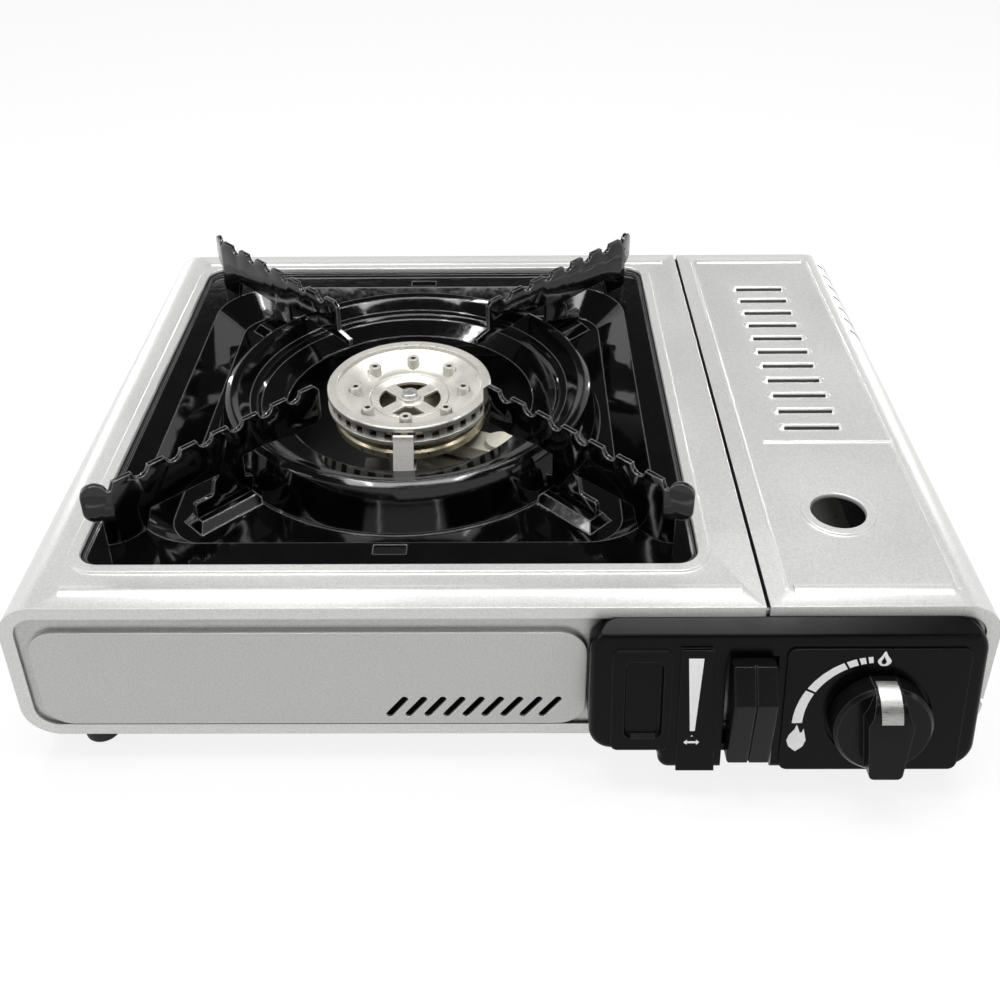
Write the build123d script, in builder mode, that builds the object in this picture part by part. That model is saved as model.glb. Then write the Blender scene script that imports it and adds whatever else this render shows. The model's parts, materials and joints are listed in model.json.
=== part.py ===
from build123d import *
import os
from math import cos, sin, radians, degrees, atan2, sqrt, pi

os.makedirs("parts", exist_ok=True)

# ---------------------------------------------------------------- driving dimensions
# Millimetres. X left to right, Y front to back, Z up from the table.

body_width = 345.0
body_depth = 268.0
top_height = 75.0
foot_height = 14.0
edge_radius = 13.0
sheet = 1.0
hem_width = 4.0
hem_depth = 1.2

half_width = body_width / 2
lid_width = 80.8
gap_x = half_width - lid_width
gap_half = 0.7

burner_shift = 0.9
burner_x = (gap_x - half_width) / 2 + burner_shift
burner_y = 17.54
burner_to_front = 137.0
cutout_width = 222.0
cutout_depth = 230.0
cutout_radius = 8.0

clear_move = 0.3
clear_shaft = 0.05

shell_bottom = foot_height
shell_height = top_height - shell_bottom
shell_mid = shell_bottom + shell_height / 2
floor_z = shell_bottom + sheet
front_y = burner_y - burner_to_front
rear_y = front_y + body_depth
inner_right = half_width - sheet
plate_front_y = front_y + hem_depth
plate_rear_y = rear_y - hem_depth
main_edge_x = gap_x - gap_half
lid_edge_x = gap_x + gap_half

# Lid hinge
hinge_inset = 4.1
hinge_x = half_width - hinge_inset
hinge_z = 34.0
hinge_pin_radius = 1.25
hinge_head_radius = 2.6
side_wall_top = 28.5
lid_skin_bottom = 31.0

# Control panel face: a plane leaning back, origin on its top fold
face_tilt = 9.46
panel_stand = 6.5
fold_y = front_y - panel_stand
fold_z = 67.5
panel_width = 135.0
panel_inset = 6.0
panel_right = half_width - panel_inset
panel_left = panel_right - panel_width
panel_top = 70.8
panel_bottom = 12.9
panel_step_drop = 8.0
panel_wall = 3.0
face_normal = (0, -cos(radians(face_tilt)), sin(radians(face_tilt)))
face_plane = Plane(origin=(0, fold_y, fold_z), x_dir=(1, 0, 0), z_dir=face_normal)

# Knob and cartridge share one X station
knob_inset = 41.5
knob_x = half_width - knob_inset
knob_down = 32.0
knob_radius = 17.0
knob_drum_top = 8.5
knob_bar_top = 15.0
pad_height = 0.8
knob_plane = Plane(face_plane.from_local_coords(Vector(knob_x, -knob_down, 0)),
                   x_dir=(1, 0, 0), z_dir=face_normal)

spindle_radius = 3.0
cam_back = 9.2
cam_thickness = 3.0
cam_radius = 7.0
cam_rise = 4.5
knob_turn = 120.0

# Cartridge bay
cartridge_radius = 33.2
cartridge_play = 0.2
cartridge_setback = 49.8
cartridge_front = front_y + cartridge_setback
cartridge_length = 190.0
trough_bottom = 3.5
trough_floor = trough_bottom + sheet
carrier_thick = 1.2
cartridge_z = trough_floor + clear_move + carrier_thick + cartridge_play + cartridge_radius

# Lock lever
lever_setback = 16.0
lever_axis_y = front_y + lever_setback
lever_axis_z = 30.0
lever_axle_radius = 2.5
lever_throw = 15.0
crank_radius = 22.0
crank_lean = lever_throw / 2
crank_pin_y = lever_axis_y + crank_radius * sin(radians(crank_lean))
crank_pin_z = lever_axis_z + crank_radius * cos(radians(crank_lean))
crank_pin_radius = 2.0
carrier_travel = crank_radius * radians(lever_throw)

# Burner stack, heights above the table
head_radius = 35.5
head_rise = 3.8
head_rim_thick = 2.7
port_height = 3.8
head_flange = 2.5
head_dish = 6.6
post_rise = 4.8
head_rim_top = top_height + head_rise
head_rim_bottom = head_rim_top - head_rim_thick
head_band_bottom = head_rim_bottom - port_height
head_bottom = head_band_bottom - head_flange
head_recess_radius = 31.0
head_floor_top = head_rim_top - head_dish
post_circle = 23.5
post_top = head_floor_top + post_rise
tube_radius = 8.2
tube_bore = 6.8
neck_bore = 8.0
tube_z = cartridge_z

# Mixing tube line from the regulator to the burner
jet_x = knob_x
jet_setback = 13.0
jet_y = front_y + jet_setback
tube_run = sqrt((burner_x - jet_x) ** 2 + (burner_y - jet_y) ** 2)
tube_dir = ((burner_x - jet_x) / tube_run, (burner_y - jet_y) / tube_run, 0)
tube_plane = Plane(origin=(jet_x, jet_y, tube_z), x_dir=(0, 0, 1), z_dir=tube_dir)

# Drip tray, heights relative to the top sheet
tray_ledge = -2.2
tray_floor = -13.0
ring_crest_radius = 76.0
ring_crest = 6.2
ring_foot_radius = 80.5
ring_hole_radius = 54.0
ring_hole_z = -5.2
boss_distance = 96.4

tooth_top = 24.8
tooth_dip = 21.4
tooth_pitch = 13.65
tooth_count = 7
support_thickness = 2.0
ear_bend_radius = 140.5
front_ear_turn = 30.0
rear_ear_turn = 20.0


def lid_zone(margin):
    """Front-view region that belongs to the lid, grown by a margin."""
    left = main_edge_x - margin
    low = side_wall_top - margin
    width = half_width + edge_radius - left
    height = top_height + edge_radius - low
    return Pos(left + width / 2, low + height / 2) * Rectangle(width, height)


def shell_outline(inset):
    """Rounded front-view outline of the body, moved in by an inset."""
    return Pos(0, shell_mid) * RectangleRounded(
        body_width - 2 * inset, shell_height - 2 * inset, edge_radius - inset
    )


def front_plane(y):
    """Vertical plane facing forward at a Y station: local x is X, local y is Z."""
    return Plane.XZ.offset(-y)


# ---------------------------------------------------------------- body shell
bead_width = 5.6
bead_height = 0.8
front_bead_inset = 8.8
rear_bead_inset = 8.5
front_bead_y = front_y + front_bead_inset
rear_bead_y = rear_y - rear_bead_inset
bead_end_inset = 20.5
bead_gap_inset = 7.0
left_bead_end = bead_end_inset - half_width
right_bead_end = main_edge_x - bead_gap_inset
border_width = 4.6
border_height = 0.8
seat_drop = sheet + clear_move - tray_ledge
seat_width = 4.5
trough_radius = 4.0
trough_half = 25.0
trough_ahead = 9.8
trough_behind = 3.2
trough_left = knob_x - trough_half
trough_right = knob_x + trough_half
trough_front = cartridge_front - trough_ahead
trough_rear = cartridge_front + cartridge_length + trough_behind
trough_mid_x = (trough_left + trough_right) / 2
trough_mid_y = (trough_front + trough_rear) / 2
trough_outer_x = trough_right - trough_left + 2 * sheet
trough_outer_y = trough_rear - trough_front + 2 * sheet
foot_inset = 21.5
foot_front_inset = 14.5
foot_rear_inset = 11.5
foot_x = half_width - foot_inset
foot_front_y = front_y + foot_front_inset
foot_rear_y = rear_y - foot_rear_inset
foot_places = [(-foot_x, foot_front_y), (foot_x, foot_front_y), (-foot_x, foot_rear_y), (foot_x, foot_rear_y)]
foot_screw_radius = 2.0
vent_circle = 62.0
vent_count = 7
vent_length = 17.0
vent_width = 4.0
border_taper = 30.0

ring_face = shell_outline(0) - shell_outline(sheet) - lid_zone(0)
hem_face = shell_outline(0) - shell_outline(hem_width + sheet) - lid_zone(0)

with BuildPart() as body_shell:
    with BuildSketch(front_plane(rear_y)):
        add(ring_face)
    extrude(amount=body_depth)
    with BuildSketch(front_plane(front_y + hem_depth)):
        add(hem_face)
    extrude(amount=hem_depth)
    with BuildSketch(front_plane(rear_y)):
        add(hem_face)
    extrude(amount=hem_depth)
    # rolled-in seat for the drip tray
    with BuildSketch(Plane.XY.offset(top_height - seat_drop - sheet)):
        with Locations((burner_x, burner_y)):
            RectangleRounded(cutout_width + 2 * sheet, cutout_depth + 2 * sheet, cutout_radius + sheet)
    extrude(amount=seat_drop + sheet / 2)
    with BuildSketch(Plane.XY.offset(top_height - seat_drop)):
        with Locations((burner_x, burner_y)):
            RectangleRounded(cutout_width, cutout_depth, cutout_radius)
    extrude(amount=seat_drop + sheet, mode=Mode.SUBTRACT)
    with BuildSketch(Plane.XY.offset(top_height - seat_drop - 2 * sheet)):
        with Locations((burner_x, burner_y)):
            RectangleRounded(cutout_width - 2 * seat_width, cutout_depth - 2 * seat_width, cutout_radius)
    extrude(amount=3 * sheet, mode=Mode.SUBTRACT)
    # raised border round the opening
    with BuildSketch(Plane.XY.offset(top_height)):
        with Locations((burner_x, burner_y)):
            RectangleRounded(cutout_width + 2 * border_width, cutout_depth + 2 * border_width,
                             cutout_radius + border_width)
            RectangleRounded(cutout_width, cutout_depth, cutout_radius, mode=Mode.SUBTRACT)
    extrude(amount=border_height, taper=border_taper)
    # pressed beads along the front and the rear
    with BuildSketch(Plane.YZ.offset(left_bead_end)):
        for bead_y in (front_bead_y, rear_bead_y):
            with BuildLine():
                ThreePointArc((bead_y - bead_width / 2, top_height), (bead_y, top_height + bead_height),
                              (bead_y + bead_width / 2, top_height))
                Line((bead_y - bead_width / 2, top_height), (bead_y + bead_width / 2, top_height))
            make_face()
    extrude(amount=right_bead_end - left_bead_end)
    # bay trough opening, floor vents and foot screw holes
    with BuildSketch(Plane.XY.offset(shell_bottom)):
        with Locations((trough_mid_x, trough_mid_y)):
            RectangleRounded(trough_right - trough_left, trough_rear - trough_front, trough_radius - sheet)
        with Locations((burner_x, burner_y)):
            with PolarLocations(vent_circle, vent_count, start_angle=180, angular_range=180, endpoint=True):
                SlotOverall(vent_length, vent_width)
        with Locations(*foot_places):
            Circle(foot_screw_radius)
    extrude(amount=sheet, mode=Mode.SUBTRACT)
body_shell.part.label = "body_shell"
export_step(body_shell.part, "parts/body_shell.step")

# ---------------------------------------------------------------- front plate
field_inset = 9.0
field_gap = 0.6
field_left = field_inset - half_width
field_right = panel_left - field_gap
field_under = 6.0
field_over = 10.8
field_low = shell_bottom + field_under
field_high = top_height - field_over
field_radius = 10.0
field_raise = 0.6
field_mid_x = (field_left + field_right) / 2
field_mid_z = (field_low + field_high) / 2
field_width = field_right - field_left
field_height = field_high - field_low
slot_count = 9
slot_pitch = 6.85
slot_end_gap = 12.55
slot_last_x = field_right - slot_end_gap
slot_above = 8.4
slot_z = field_low + slot_above
slot_length = 12.0
slot_width = 2.6
slot_angle = 53.0
lever_port_width = 4.8
lever_port_left = gap_x - 0.5
lever_port_right = lever_port_left + lever_port_width
lever_port_under = 10.0
lever_port_over = 18.0
lever_port_low = lever_axis_z - lever_port_under
lever_port_high = lever_axis_z + lever_port_over
spindle_port_radius = 6.0
hinge_relief = sqrt(hinge_inset ** 2 + (hinge_z - lid_skin_bottom) ** 2) + clear_move
plate_face = ((shell_outline(sheet) - lid_zone(0)) + (shell_outline(2 * sheet) & lid_zone(0))
              - Pos(hinge_x, hinge_z) * Circle(hinge_relief))
spindle_port_depth = (plate_front_y + sheet / 2 - knob_plane.origin.Y) / cos(radians(face_tilt))
spindle_port_z = knob_plane.origin.Z - spindle_port_depth * sin(radians(face_tilt))
screw_in_left = 6.0
screw_in_right = 6.5
screw_drop = 7.8
screw_lift = 12.1
screw_left = panel_left + screw_in_left
screw_right = panel_right - screw_in_right
screw_high = panel_top - screw_drop
screw_low_left = panel_bottom + panel_step_drop + panel_step_drop
screw_low_right = panel_bottom + screw_lift
panel_screw_places = [(screw_left, screw_high), (screw_left, screw_low_left), (screw_right, screw_high),
                      (screw_right, screw_low_right)]
panel_screw_radius = 1.5
regulator_screw_spread = 11.3
regulator_screw_places = [
    (knob_x - regulator_screw_spread, cartridge_z + regulator_screw_spread),
    (knob_x + regulator_screw_spread, cartridge_z + regulator_screw_spread),
]

with BuildPart() as front_plate:
    with BuildSketch(front_plane(plate_front_y + sheet)):
        add(plate_face)
    extrude(amount=sheet)
    with BuildSketch(front_plane(plate_front_y)):
        with Locations((field_mid_x, field_mid_z)):
            RectangleRounded(field_width, field_height, field_radius)
    extrude(amount=hem_depth + field_raise)
    with BuildSketch(front_plane(plate_front_y + sheet)):
        with Locations((field_mid_x, field_mid_z)):
            RectangleRounded(field_width - 2 * sheet, field_height - 2 * sheet, field_radius - sheet)
    extrude(amount=hem_depth + field_raise, mode=Mode.SUBTRACT)
    with BuildSketch(front_plane(plate_front_y + sheet)):
        for i in range(slot_count):
            with Locations(Location((slot_last_x - i * slot_pitch, slot_z, 0), (0, 0, slot_angle))):
                SlotOverall(slot_length, slot_width)
    extrude(amount=2 * hem_depth + field_raise, mode=Mode.SUBTRACT)
    with BuildSketch(front_plane(plate_front_y + sheet)):
        with Locations(((lever_port_left + lever_port_right) / 2, (lever_port_low + lever_port_high) / 2)):
            Rectangle(lever_port_right - lever_port_left, lever_port_high - lever_port_low)
        with Locations((knob_x, spindle_port_z)):
            Circle(spindle_port_radius)
        with Locations(*panel_screw_places, *regulator_screw_places):
            Circle(panel_screw_radius)
    extrude(amount=sheet, mode=Mode.SUBTRACT)
front_plate.part.label = "front_plate"
export_step(front_plate.part, "parts/front_plate.step")

# ---------------------------------------------------------------- rear plate
rear_slot_count = 12
rear_slot_pitch = 13.0
rear_slot_length = 26.0
rear_slot_width = 3.0
bay_slot_count = 4
bay_slot_pitch = 14.0
rear_field_gap = 11.7
rear_field_left = field_left
rear_field_right = gap_x - rear_field_gap

with BuildPart() as rear_plate:
    with BuildSketch(front_plane(plate_rear_y)):
        add(plate_face)
    extrude(amount=sheet)
    with BuildSketch(front_plane(rear_y)):
        with Locations(((rear_field_left + rear_field_right) / 2, field_mid_z)):
            RectangleRounded(rear_field_right - rear_field_left, field_height, field_radius)
    extrude(amount=hem_depth)
    with BuildSketch(front_plane(rear_y - sheet)):
        with Locations(((rear_field_left + rear_field_right) / 2, field_mid_z)):
            RectangleRounded(rear_field_right - rear_field_left - 2 * sheet, field_height - 2 * sheet,
                             field_radius - sheet)
    extrude(amount=hem_depth + sheet, mode=Mode.SUBTRACT)
    with BuildSketch(front_plane(rear_y)):
        with Locations((burner_x, field_mid_z)):
            with GridLocations(rear_slot_pitch, 1, rear_slot_count, 1):
                SlotOverall(rear_slot_length, rear_slot_width, rotation=90)
        with Locations((knob_x, field_mid_z)):
            with GridLocations(bay_slot_pitch, 1, bay_slot_count, 1):
                SlotOverall(rear_slot_length, rear_slot_width, rotation=90)
    extrude(amount=3 * hem_depth, mode=Mode.SUBTRACT)
rear_plate.part.label = "rear_plate"
export_step(rear_plate.part, "parts/rear_plate.step")

# ---------------------------------------------------------------- bay wall
wall_front = plate_front_y + sheet
wall_rear = plate_rear_y - sheet
wall_x = main_edge_x - sheet
wall_flange = 8.0
wall_top = top_height - sheet
tube_hole_gap = 1.2
tube_hole_radius = tube_radius + tube_hole_gap
wall_hole_pitch = 22.0
wall_hole_count = 7
wall_hole_length = 14.0
wall_hole_width = 5.0
wall_hole_y = burner_y + 30.0

with BuildPart() as bay_wall:
    with BuildSketch(front_plane(wall_rear)):
        with BuildLine():
            Polyline(
                (main_edge_x, floor_z), (main_edge_x, wall_top), (wall_x - sheet, wall_top),
                (wall_x - sheet, wall_top - sheet), (wall_x, wall_top - sheet), (wall_x, floor_z + sheet),
                (wall_x - wall_flange, floor_z + sheet), (wall_x - wall_flange, floor_z), (main_edge_x, floor_z),
            )
        make_face()
    extrude(amount=wall_rear - wall_front)
    with BuildSketch(tube_plane):
        Circle(tube_hole_radius)
    extrude(amount=tube_run / 2, mode=Mode.SUBTRACT)
    with BuildSketch(Plane.YZ.offset(wall_x)):
        with Locations((lever_axis_y, lever_axis_z)):
            Circle(lever_axle_radius)
        with Locations((wall_hole_y, cartridge_z)):
            with GridLocations(wall_hole_pitch, 1, wall_hole_count, 1):
                SlotOverall(wall_hole_length, wall_hole_width, rotation=90)
    extrude(amount=sheet, mode=Mode.SUBTRACT)
bay_wall.part.label = "bay_wall"
export_step(bay_wall.part, "parts/bay_wall.step")

# ---------------------------------------------------------------- bay trough
trough_flange = 4.0

with BuildPart() as bay_trough:
    with BuildSketch(Plane.XY.offset(trough_bottom)):
        with Locations((trough_mid_x, trough_mid_y)):
            RectangleRounded(trough_outer_x, trough_outer_y, trough_radius)
    extrude(amount=shell_bottom - trough_bottom)
    with BuildSketch(Plane.XY.offset(shell_bottom - sheet)):
        with Locations((trough_mid_x, trough_mid_y)):
            RectangleRounded(trough_outer_x + 2 * trough_flange, trough_outer_y + 2 * trough_flange, trough_radius)
    extrude(amount=sheet)
    with BuildSketch(Plane.XY.offset(trough_floor)):
        with Locations((trough_mid_x, trough_mid_y)):
            RectangleRounded(trough_outer_x - 2 * sheet, trough_outer_y - 2 * sheet, trough_radius - sheet)
    extrude(amount=floor_z, mode=Mode.SUBTRACT)
bay_trough.part.label = "bay_trough"
export_step(bay_trough.part, "parts/bay_trough.step")

# ---------------------------------------------------------------- carrier rails
carrier_half = 15.0
carrier_gap = 0.4
carrier_low = trough_floor + clear_move
rail_web = 1.4
rail_lip = 3.6
rail_top = carrier_low + carrier_thick + carrier_gap + sheet
rail_setback = 3.2
rail_length = 176.0
rail_front = cartridge_front + rail_setback

with BuildPart() as carrier_rails:
    with BuildSketch(front_plane(rail_front + rail_length)):
        with BuildLine():
            Polyline(
                (knob_x - carrier_half - carrier_gap, trough_floor),
                (knob_x - carrier_half - carrier_gap, rail_top - sheet),
                (knob_x - carrier_half + rail_lip - rail_web, rail_top - sheet),
                (knob_x - carrier_half + rail_lip - rail_web, rail_top),
                (knob_x - carrier_half - carrier_gap - rail_web, rail_top),
                (knob_x - carrier_half - carrier_gap - rail_web, trough_floor),
                (knob_x - carrier_half - carrier_gap, trough_floor),
            )
        make_face()
        mirror(about=Plane.YZ.offset(knob_x))
    extrude(amount=rail_length)
carrier_rails.part.label = "carrier_rails"
export_step(carrier_rails.part, "parts/carrier_rails.step")

# ---------------------------------------------------------------- burner body and its bracket
mouth_at = 36.0
neck_radius = 19.0
neck_high = head_bottom - 9.3
neck_wall = 4.7
pad_top = neck_high - neck_wall
neck_flare = 10.0
neck_low = pad_top - neck_flare
throat_radius = 11.0
elbow_bottom = tube_z - tube_radius
elbow_floor = 2.0
pad_width = 10.0
pad_reach = 25.0
pad_thick = 2.0
arm_angle = -20.0
arm_reach = 42.0
arm_width = 13.0
arm_depth = 6.0
arm_boss_radius = 6.5
arm_boss_rise = 2.5
electrode_angle = 127.0
electrode_reach = 43.0
electrode_radius = 3.4
lug_width = 11.0
burner_axis = Axis((burner_x, burner_y, 0), (0, 0, 1))

with BuildPart() as burner_body:
    with BuildSketch(tube_plane.offset(mouth_at)):
        Circle(tube_radius)
    extrude(amount=tube_run - mouth_at)
    with BuildSketch(front_plane(burner_y)):
        with BuildLine():
            Polyline(
                (burner_x, elbow_bottom), (burner_x + throat_radius, elbow_bottom),
                (burner_x + throat_radius, neck_low), (burner_x + neck_radius, pad_top),
                (burner_x + neck_radius, neck_high), (burner_x, neck_high), (burner_x, elbow_bottom),
            )
        make_face()
    revolve(axis=burner_axis)
    # pad for the flame bracket, lug for the electrode and the cast arm with its boss
    with BuildSketch(Plane.XY.offset(pad_top)):
        with Locations((burner_x, burner_y - pad_reach / 2)):
            Rectangle(pad_width, pad_reach)
        with Locations((burner_x, burner_y)):
            with PolarLocations(electrode_reach / 2, 1, start_angle=electrode_angle):
                Rectangle(electrode_reach, lug_width)
            with PolarLocations(electrode_reach, 1, start_angle=electrode_angle):
                Circle(lug_width / 2)
                Circle(electrode_radius, mode=Mode.SUBTRACT)
    extrude(amount=-pad_thick)
    with BuildSketch(Plane.XY.offset(pad_top)):
        with Locations((burner_x, burner_y)):
            with PolarLocations(arm_reach / 2, 1, start_angle=arm_angle):
                Rectangle(arm_reach, arm_width)
            with PolarLocations(arm_reach, 1, start_angle=arm_angle):
                Circle(arm_boss_radius)
    extrude(amount=-arm_depth)
    with BuildSketch(Plane.XY.offset(pad_top)):
        with Locations((burner_x, burner_y)):
            with PolarLocations(arm_reach, 1, start_angle=arm_angle):
                Circle(arm_boss_radius)
    extrude(amount=arm_boss_rise, taper=8)
    # gas way: along the tube, then up the neck
    with BuildSketch(tube_plane.offset(mouth_at)):
        Circle(tube_bore)
    extrude(amount=tube_run - mouth_at, mode=Mode.SUBTRACT)
    with BuildSketch(Plane.XY.offset(elbow_bottom + elbow_floor)):
        with Locations((burner_x, burner_y)):
            Circle(neck_bore)
    extrude(amount=neck_high, mode=Mode.SUBTRACT)
burner_body.part.label = "burner_body"
export_step(burner_body.part, "parts/burner_body.step")

stand_half = 22.0
stand_foot = 8.0
stand_width = 20.0

with BuildPart() as burner_stand:
    with BuildSketch(front_plane(burner_y + stand_width / 2)):
        with BuildLine():
            Polyline(
                (burner_x - stand_half - stand_foot, floor_z), (burner_x - stand_half, floor_z),
                (burner_x - stand_half, elbow_bottom - sheet), (burner_x, elbow_bottom - sheet),
                (burner_x, elbow_bottom), (burner_x - stand_half - sheet, elbow_bottom),
                (burner_x - stand_half - sheet, floor_z + sheet),
                (burner_x - stand_half - stand_foot, floor_z + sheet),
                (burner_x - stand_half - stand_foot, floor_z),
            )
        make_face()
        mirror(about=Plane.YZ.offset(burner_x))
    extrude(amount=stand_width)
burner_stand.part.label = "burner_stand"
export_step(burner_stand.part, "parts/burner_stand.step")

# ---------------------------------------------------------------- burner cup and head
cup_bead_radius = 33.0
cup_wall_radius = 30.0
cup_bead_top = head_bottom - 4.6
cup_floor = neck_high + sheet
head_band_radius = 34.2
head_edge = 0.5
dish_lip = 1.8
dish_flat_radius = 20.5
bowl_radius = 16.7
bowl_flare = 1.2
spoke_count = 4
spoke_width = 3.4
spoke_drop = 2.2
hub_radius = 4.8
port_count = 32
port_width = 3.2
chamber_radius = 31.2
chamber_inner = 18.6
chamber_roof = 1.6
seat_thick = 1.2
seat_lap = 0.6
post_count = 8
post_radius = 2.9
post_hole = 1.2
post_hole_depth = 3.0
burner_screw_radius = 3.5
burner_screw_height = 1.8
burner_screw_round = 0.7
cross_length = 3.8
cross_width = 0.9
cross_depth = 1.2
hub_top = head_floor_top
hub_bottom = head_bottom - sheet
chamber_top_outer = head_rim_bottom - 0.4
chamber_top_inner = head_floor_top - chamber_roof

with BuildPart() as burner_cup:
    with BuildSketch(front_plane(burner_y)):
        with BuildLine():
            Polyline(
                (burner_x + neck_bore, neck_high), (burner_x + cup_bead_radius - sheet, neck_high),
                (burner_x + cup_bead_radius, neck_high + sheet), (burner_x + cup_bead_radius, cup_bead_top - sheet),
                (burner_x + cup_bead_radius - sheet, cup_bead_top), (burner_x + cup_wall_radius, cup_bead_top),
                (burner_x + cup_wall_radius, head_bottom), (burner_x + cup_wall_radius - sheet, head_bottom),
                (burner_x + cup_wall_radius - sheet, cup_floor), (burner_x + neck_bore, cup_floor),
                (burner_x + neck_bore, neck_high),
            )
        make_face()
    revolve(axis=burner_axis)
burner_cup.part.label = "burner_cup"
export_step(burner_cup.part, "parts/burner_cup.step")

with BuildPart() as burner_head:
    # rim, dished floor, ported band and the gas chamber behind it
    with BuildSketch(front_plane(burner_y)):
        with BuildLine():
            Polyline(
                (burner_x + bowl_radius, hub_bottom), (burner_x + chamber_inner, hub_bottom),
                (burner_x + chamber_inner, chamber_top_inner), (burner_x + dish_flat_radius, chamber_top_inner),
                (burner_x + chamber_radius, chamber_top_outer), (burner_x + chamber_radius, head_bottom + seat_thick),
                (burner_x + cup_wall_radius - seat_lap, head_bottom + seat_thick),
                (burner_x + cup_wall_radius - seat_lap, head_bottom),
                (burner_x + head_radius - head_edge, head_bottom), (burner_x + head_radius, head_bottom + head_edge),
                (burner_x + head_radius, head_band_bottom - head_edge),
                (burner_x + head_band_radius, head_band_bottom),
                (burner_x + head_band_radius, head_rim_bottom), (burner_x + head_radius, head_rim_bottom + head_edge),
                (burner_x + head_radius, head_rim_top - head_edge), (burner_x + head_radius - head_edge, head_rim_top),
                (burner_x + head_recess_radius + head_edge, head_rim_top),
                (burner_x + head_recess_radius, head_rim_top - dish_lip),
                (burner_x + dish_flat_radius, head_floor_top), (burner_x + bowl_radius + bowl_flare, head_floor_top),
                (burner_x + bowl_radius, head_floor_top - bowl_flare), (burner_x + bowl_radius, hub_bottom),
            )
        make_face()
    revolve(axis=burner_axis)
    # hub on its spokes
    with BuildSketch(Plane.XY.offset(hub_bottom)):
        with Locations((burner_x, burner_y)):
            with PolarLocations((bowl_radius + sheet) / 2, spoke_count, start_angle=45):
                Rectangle(bowl_radius + sheet, spoke_width)
    extrude(amount=head_floor_top - spoke_drop - hub_bottom)
    with BuildSketch(Plane.XY.offset(hub_bottom)):
        with Locations((burner_x, burner_y)):
            Circle(hub_radius)
    extrude(amount=hub_top - hub_bottom)
    # flame posts
    with BuildSketch(Plane.XY.offset(head_floor_top - chamber_roof)):
        with Locations((burner_x, burner_y)):
            with PolarLocations(post_circle, post_count):
                Circle(post_radius)
    extrude(amount=post_top - head_floor_top + chamber_roof, taper=2)
    with BuildSketch(Plane.XY.offset(post_top)):
        with Locations((burner_x, burner_y)):
            with PolarLocations(post_circle, post_count):
                Circle(post_hole)
    extrude(amount=-post_hole_depth, mode=Mode.SUBTRACT)
    # burner ports through the band
    with BuildSketch(Plane.XY.offset(head_band_bottom)):
        with Locations((burner_x, burner_y)):
            with PolarLocations((head_band_radius + chamber_radius) / 2, port_count):
                Rectangle(head_band_radius - chamber_radius + sheet, port_width)
    extrude(amount=port_height, mode=Mode.SUBTRACT)
burner_head.part.label = "burner_head"
export_step(burner_head.part, "parts/burner_head.step")

with BuildPart() as burner_screw:
    with BuildSketch(Plane.XY.offset(hub_top)):
        with Locations((burner_x, burner_y)):
            Circle(burner_screw_radius)
    extrude(amount=burner_screw_height)
    fillet(burner_screw.edges().group_by(Axis.Z)[-1], radius=burner_screw_round)
    with BuildSketch(Plane.XY.offset(hub_top + burner_screw_height)):
        with Locations((burner_x, burner_y)):
            Rectangle(cross_length, cross_width)
            Rectangle(cross_width, cross_length)
    extrude(amount=-cross_depth, mode=Mode.SUBTRACT)
burner_screw.part.label = "burner_screw"
export_step(burner_screw.part, "parts/burner_screw.step")

# ---------------------------------------------------------------- flame bracket and spark electrode
bracket_half = 4.2
bracket_thick = 1.4
bracket_stand_off = 0.9
bracket_back = burner_y - head_radius - bracket_stand_off
bracket_lean = 7.5
bracket_front = bracket_back - bracket_thick - bracket_lean
bracket_lip = 5.5
bracket_knee = head_bottom + 4.0
bracket_hole = 1.0
electrode_low = 42.0
electrode_top = head_bottom - 0.8
electrode_collar = 1.2
electrode_edge = 0.8
collar_height = 2.0
wire_radius = 0.9
wire_rise = 3.6
wire_reach = 6.0
wire_lift = 1.0
wire_bend = 1.6
electrode_x = burner_x + electrode_reach * cos(radians(electrode_angle))
electrode_y = burner_y + electrode_reach * sin(radians(electrode_angle))

with BuildPart() as flame_bracket:
    with BuildSketch(Plane.YZ.offset(burner_x - bracket_half)):
        with BuildLine():
            Polyline(
                (burner_y - neck_radius - clear_move, pad_top),
                (bracket_front, pad_top), (bracket_front, pad_top + bracket_lip),
                (bracket_back - bracket_thick, bracket_knee), (bracket_back - bracket_thick, head_rim_bottom),
                (bracket_back, head_rim_bottom), (bracket_back, bracket_knee),
                (bracket_front + bracket_thick, pad_top + bracket_lip),
                (bracket_front + bracket_thick, pad_top + bracket_thick),
                (burner_y - neck_radius - clear_move, pad_top + bracket_thick),
                (burner_y - neck_radius - clear_move, pad_top),
            )
        make_face()
    extrude(amount=2 * bracket_half)
    with BuildSketch(front_plane(bracket_front)):
        with Locations((burner_x, pad_top + bracket_lip / 2 + bracket_thick / 2)):
            Circle(bracket_hole)
    extrude(amount=-bracket_thick, mode=Mode.SUBTRACT)
flame_bracket.part.label = "flame_bracket"
export_step(flame_bracket.part, "parts/flame_bracket.step")

with BuildPart() as spark_electrode:
    with BuildSketch(Plane.XY.offset(electrode_low)):
        with Locations((electrode_x, electrode_y)):
            Circle(electrode_radius)
    extrude(amount=electrode_top - electrode_low)
    with BuildSketch(Plane.XY.offset(pad_top)):
        with Locations((electrode_x, electrode_y)):
            Circle(electrode_radius + electrode_collar)
    extrude(amount=collar_height)
    chamfer(spark_electrode.edges().group_by(Axis.Z)[-1], length=electrode_edge)
spark_electrode.part.label = "spark_electrode"
export_step(spark_electrode.part, "parts/spark_electrode.step")

inward = (-cos(radians(electrode_angle)), -sin(radians(electrode_angle)), 0)
sideways = (-sin(radians(electrode_angle)), cos(radians(electrode_angle)), 0)
wire_plane = Plane(origin=(electrode_x, electrode_y, electrode_top), x_dir=inward, z_dir=sideways)

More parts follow.
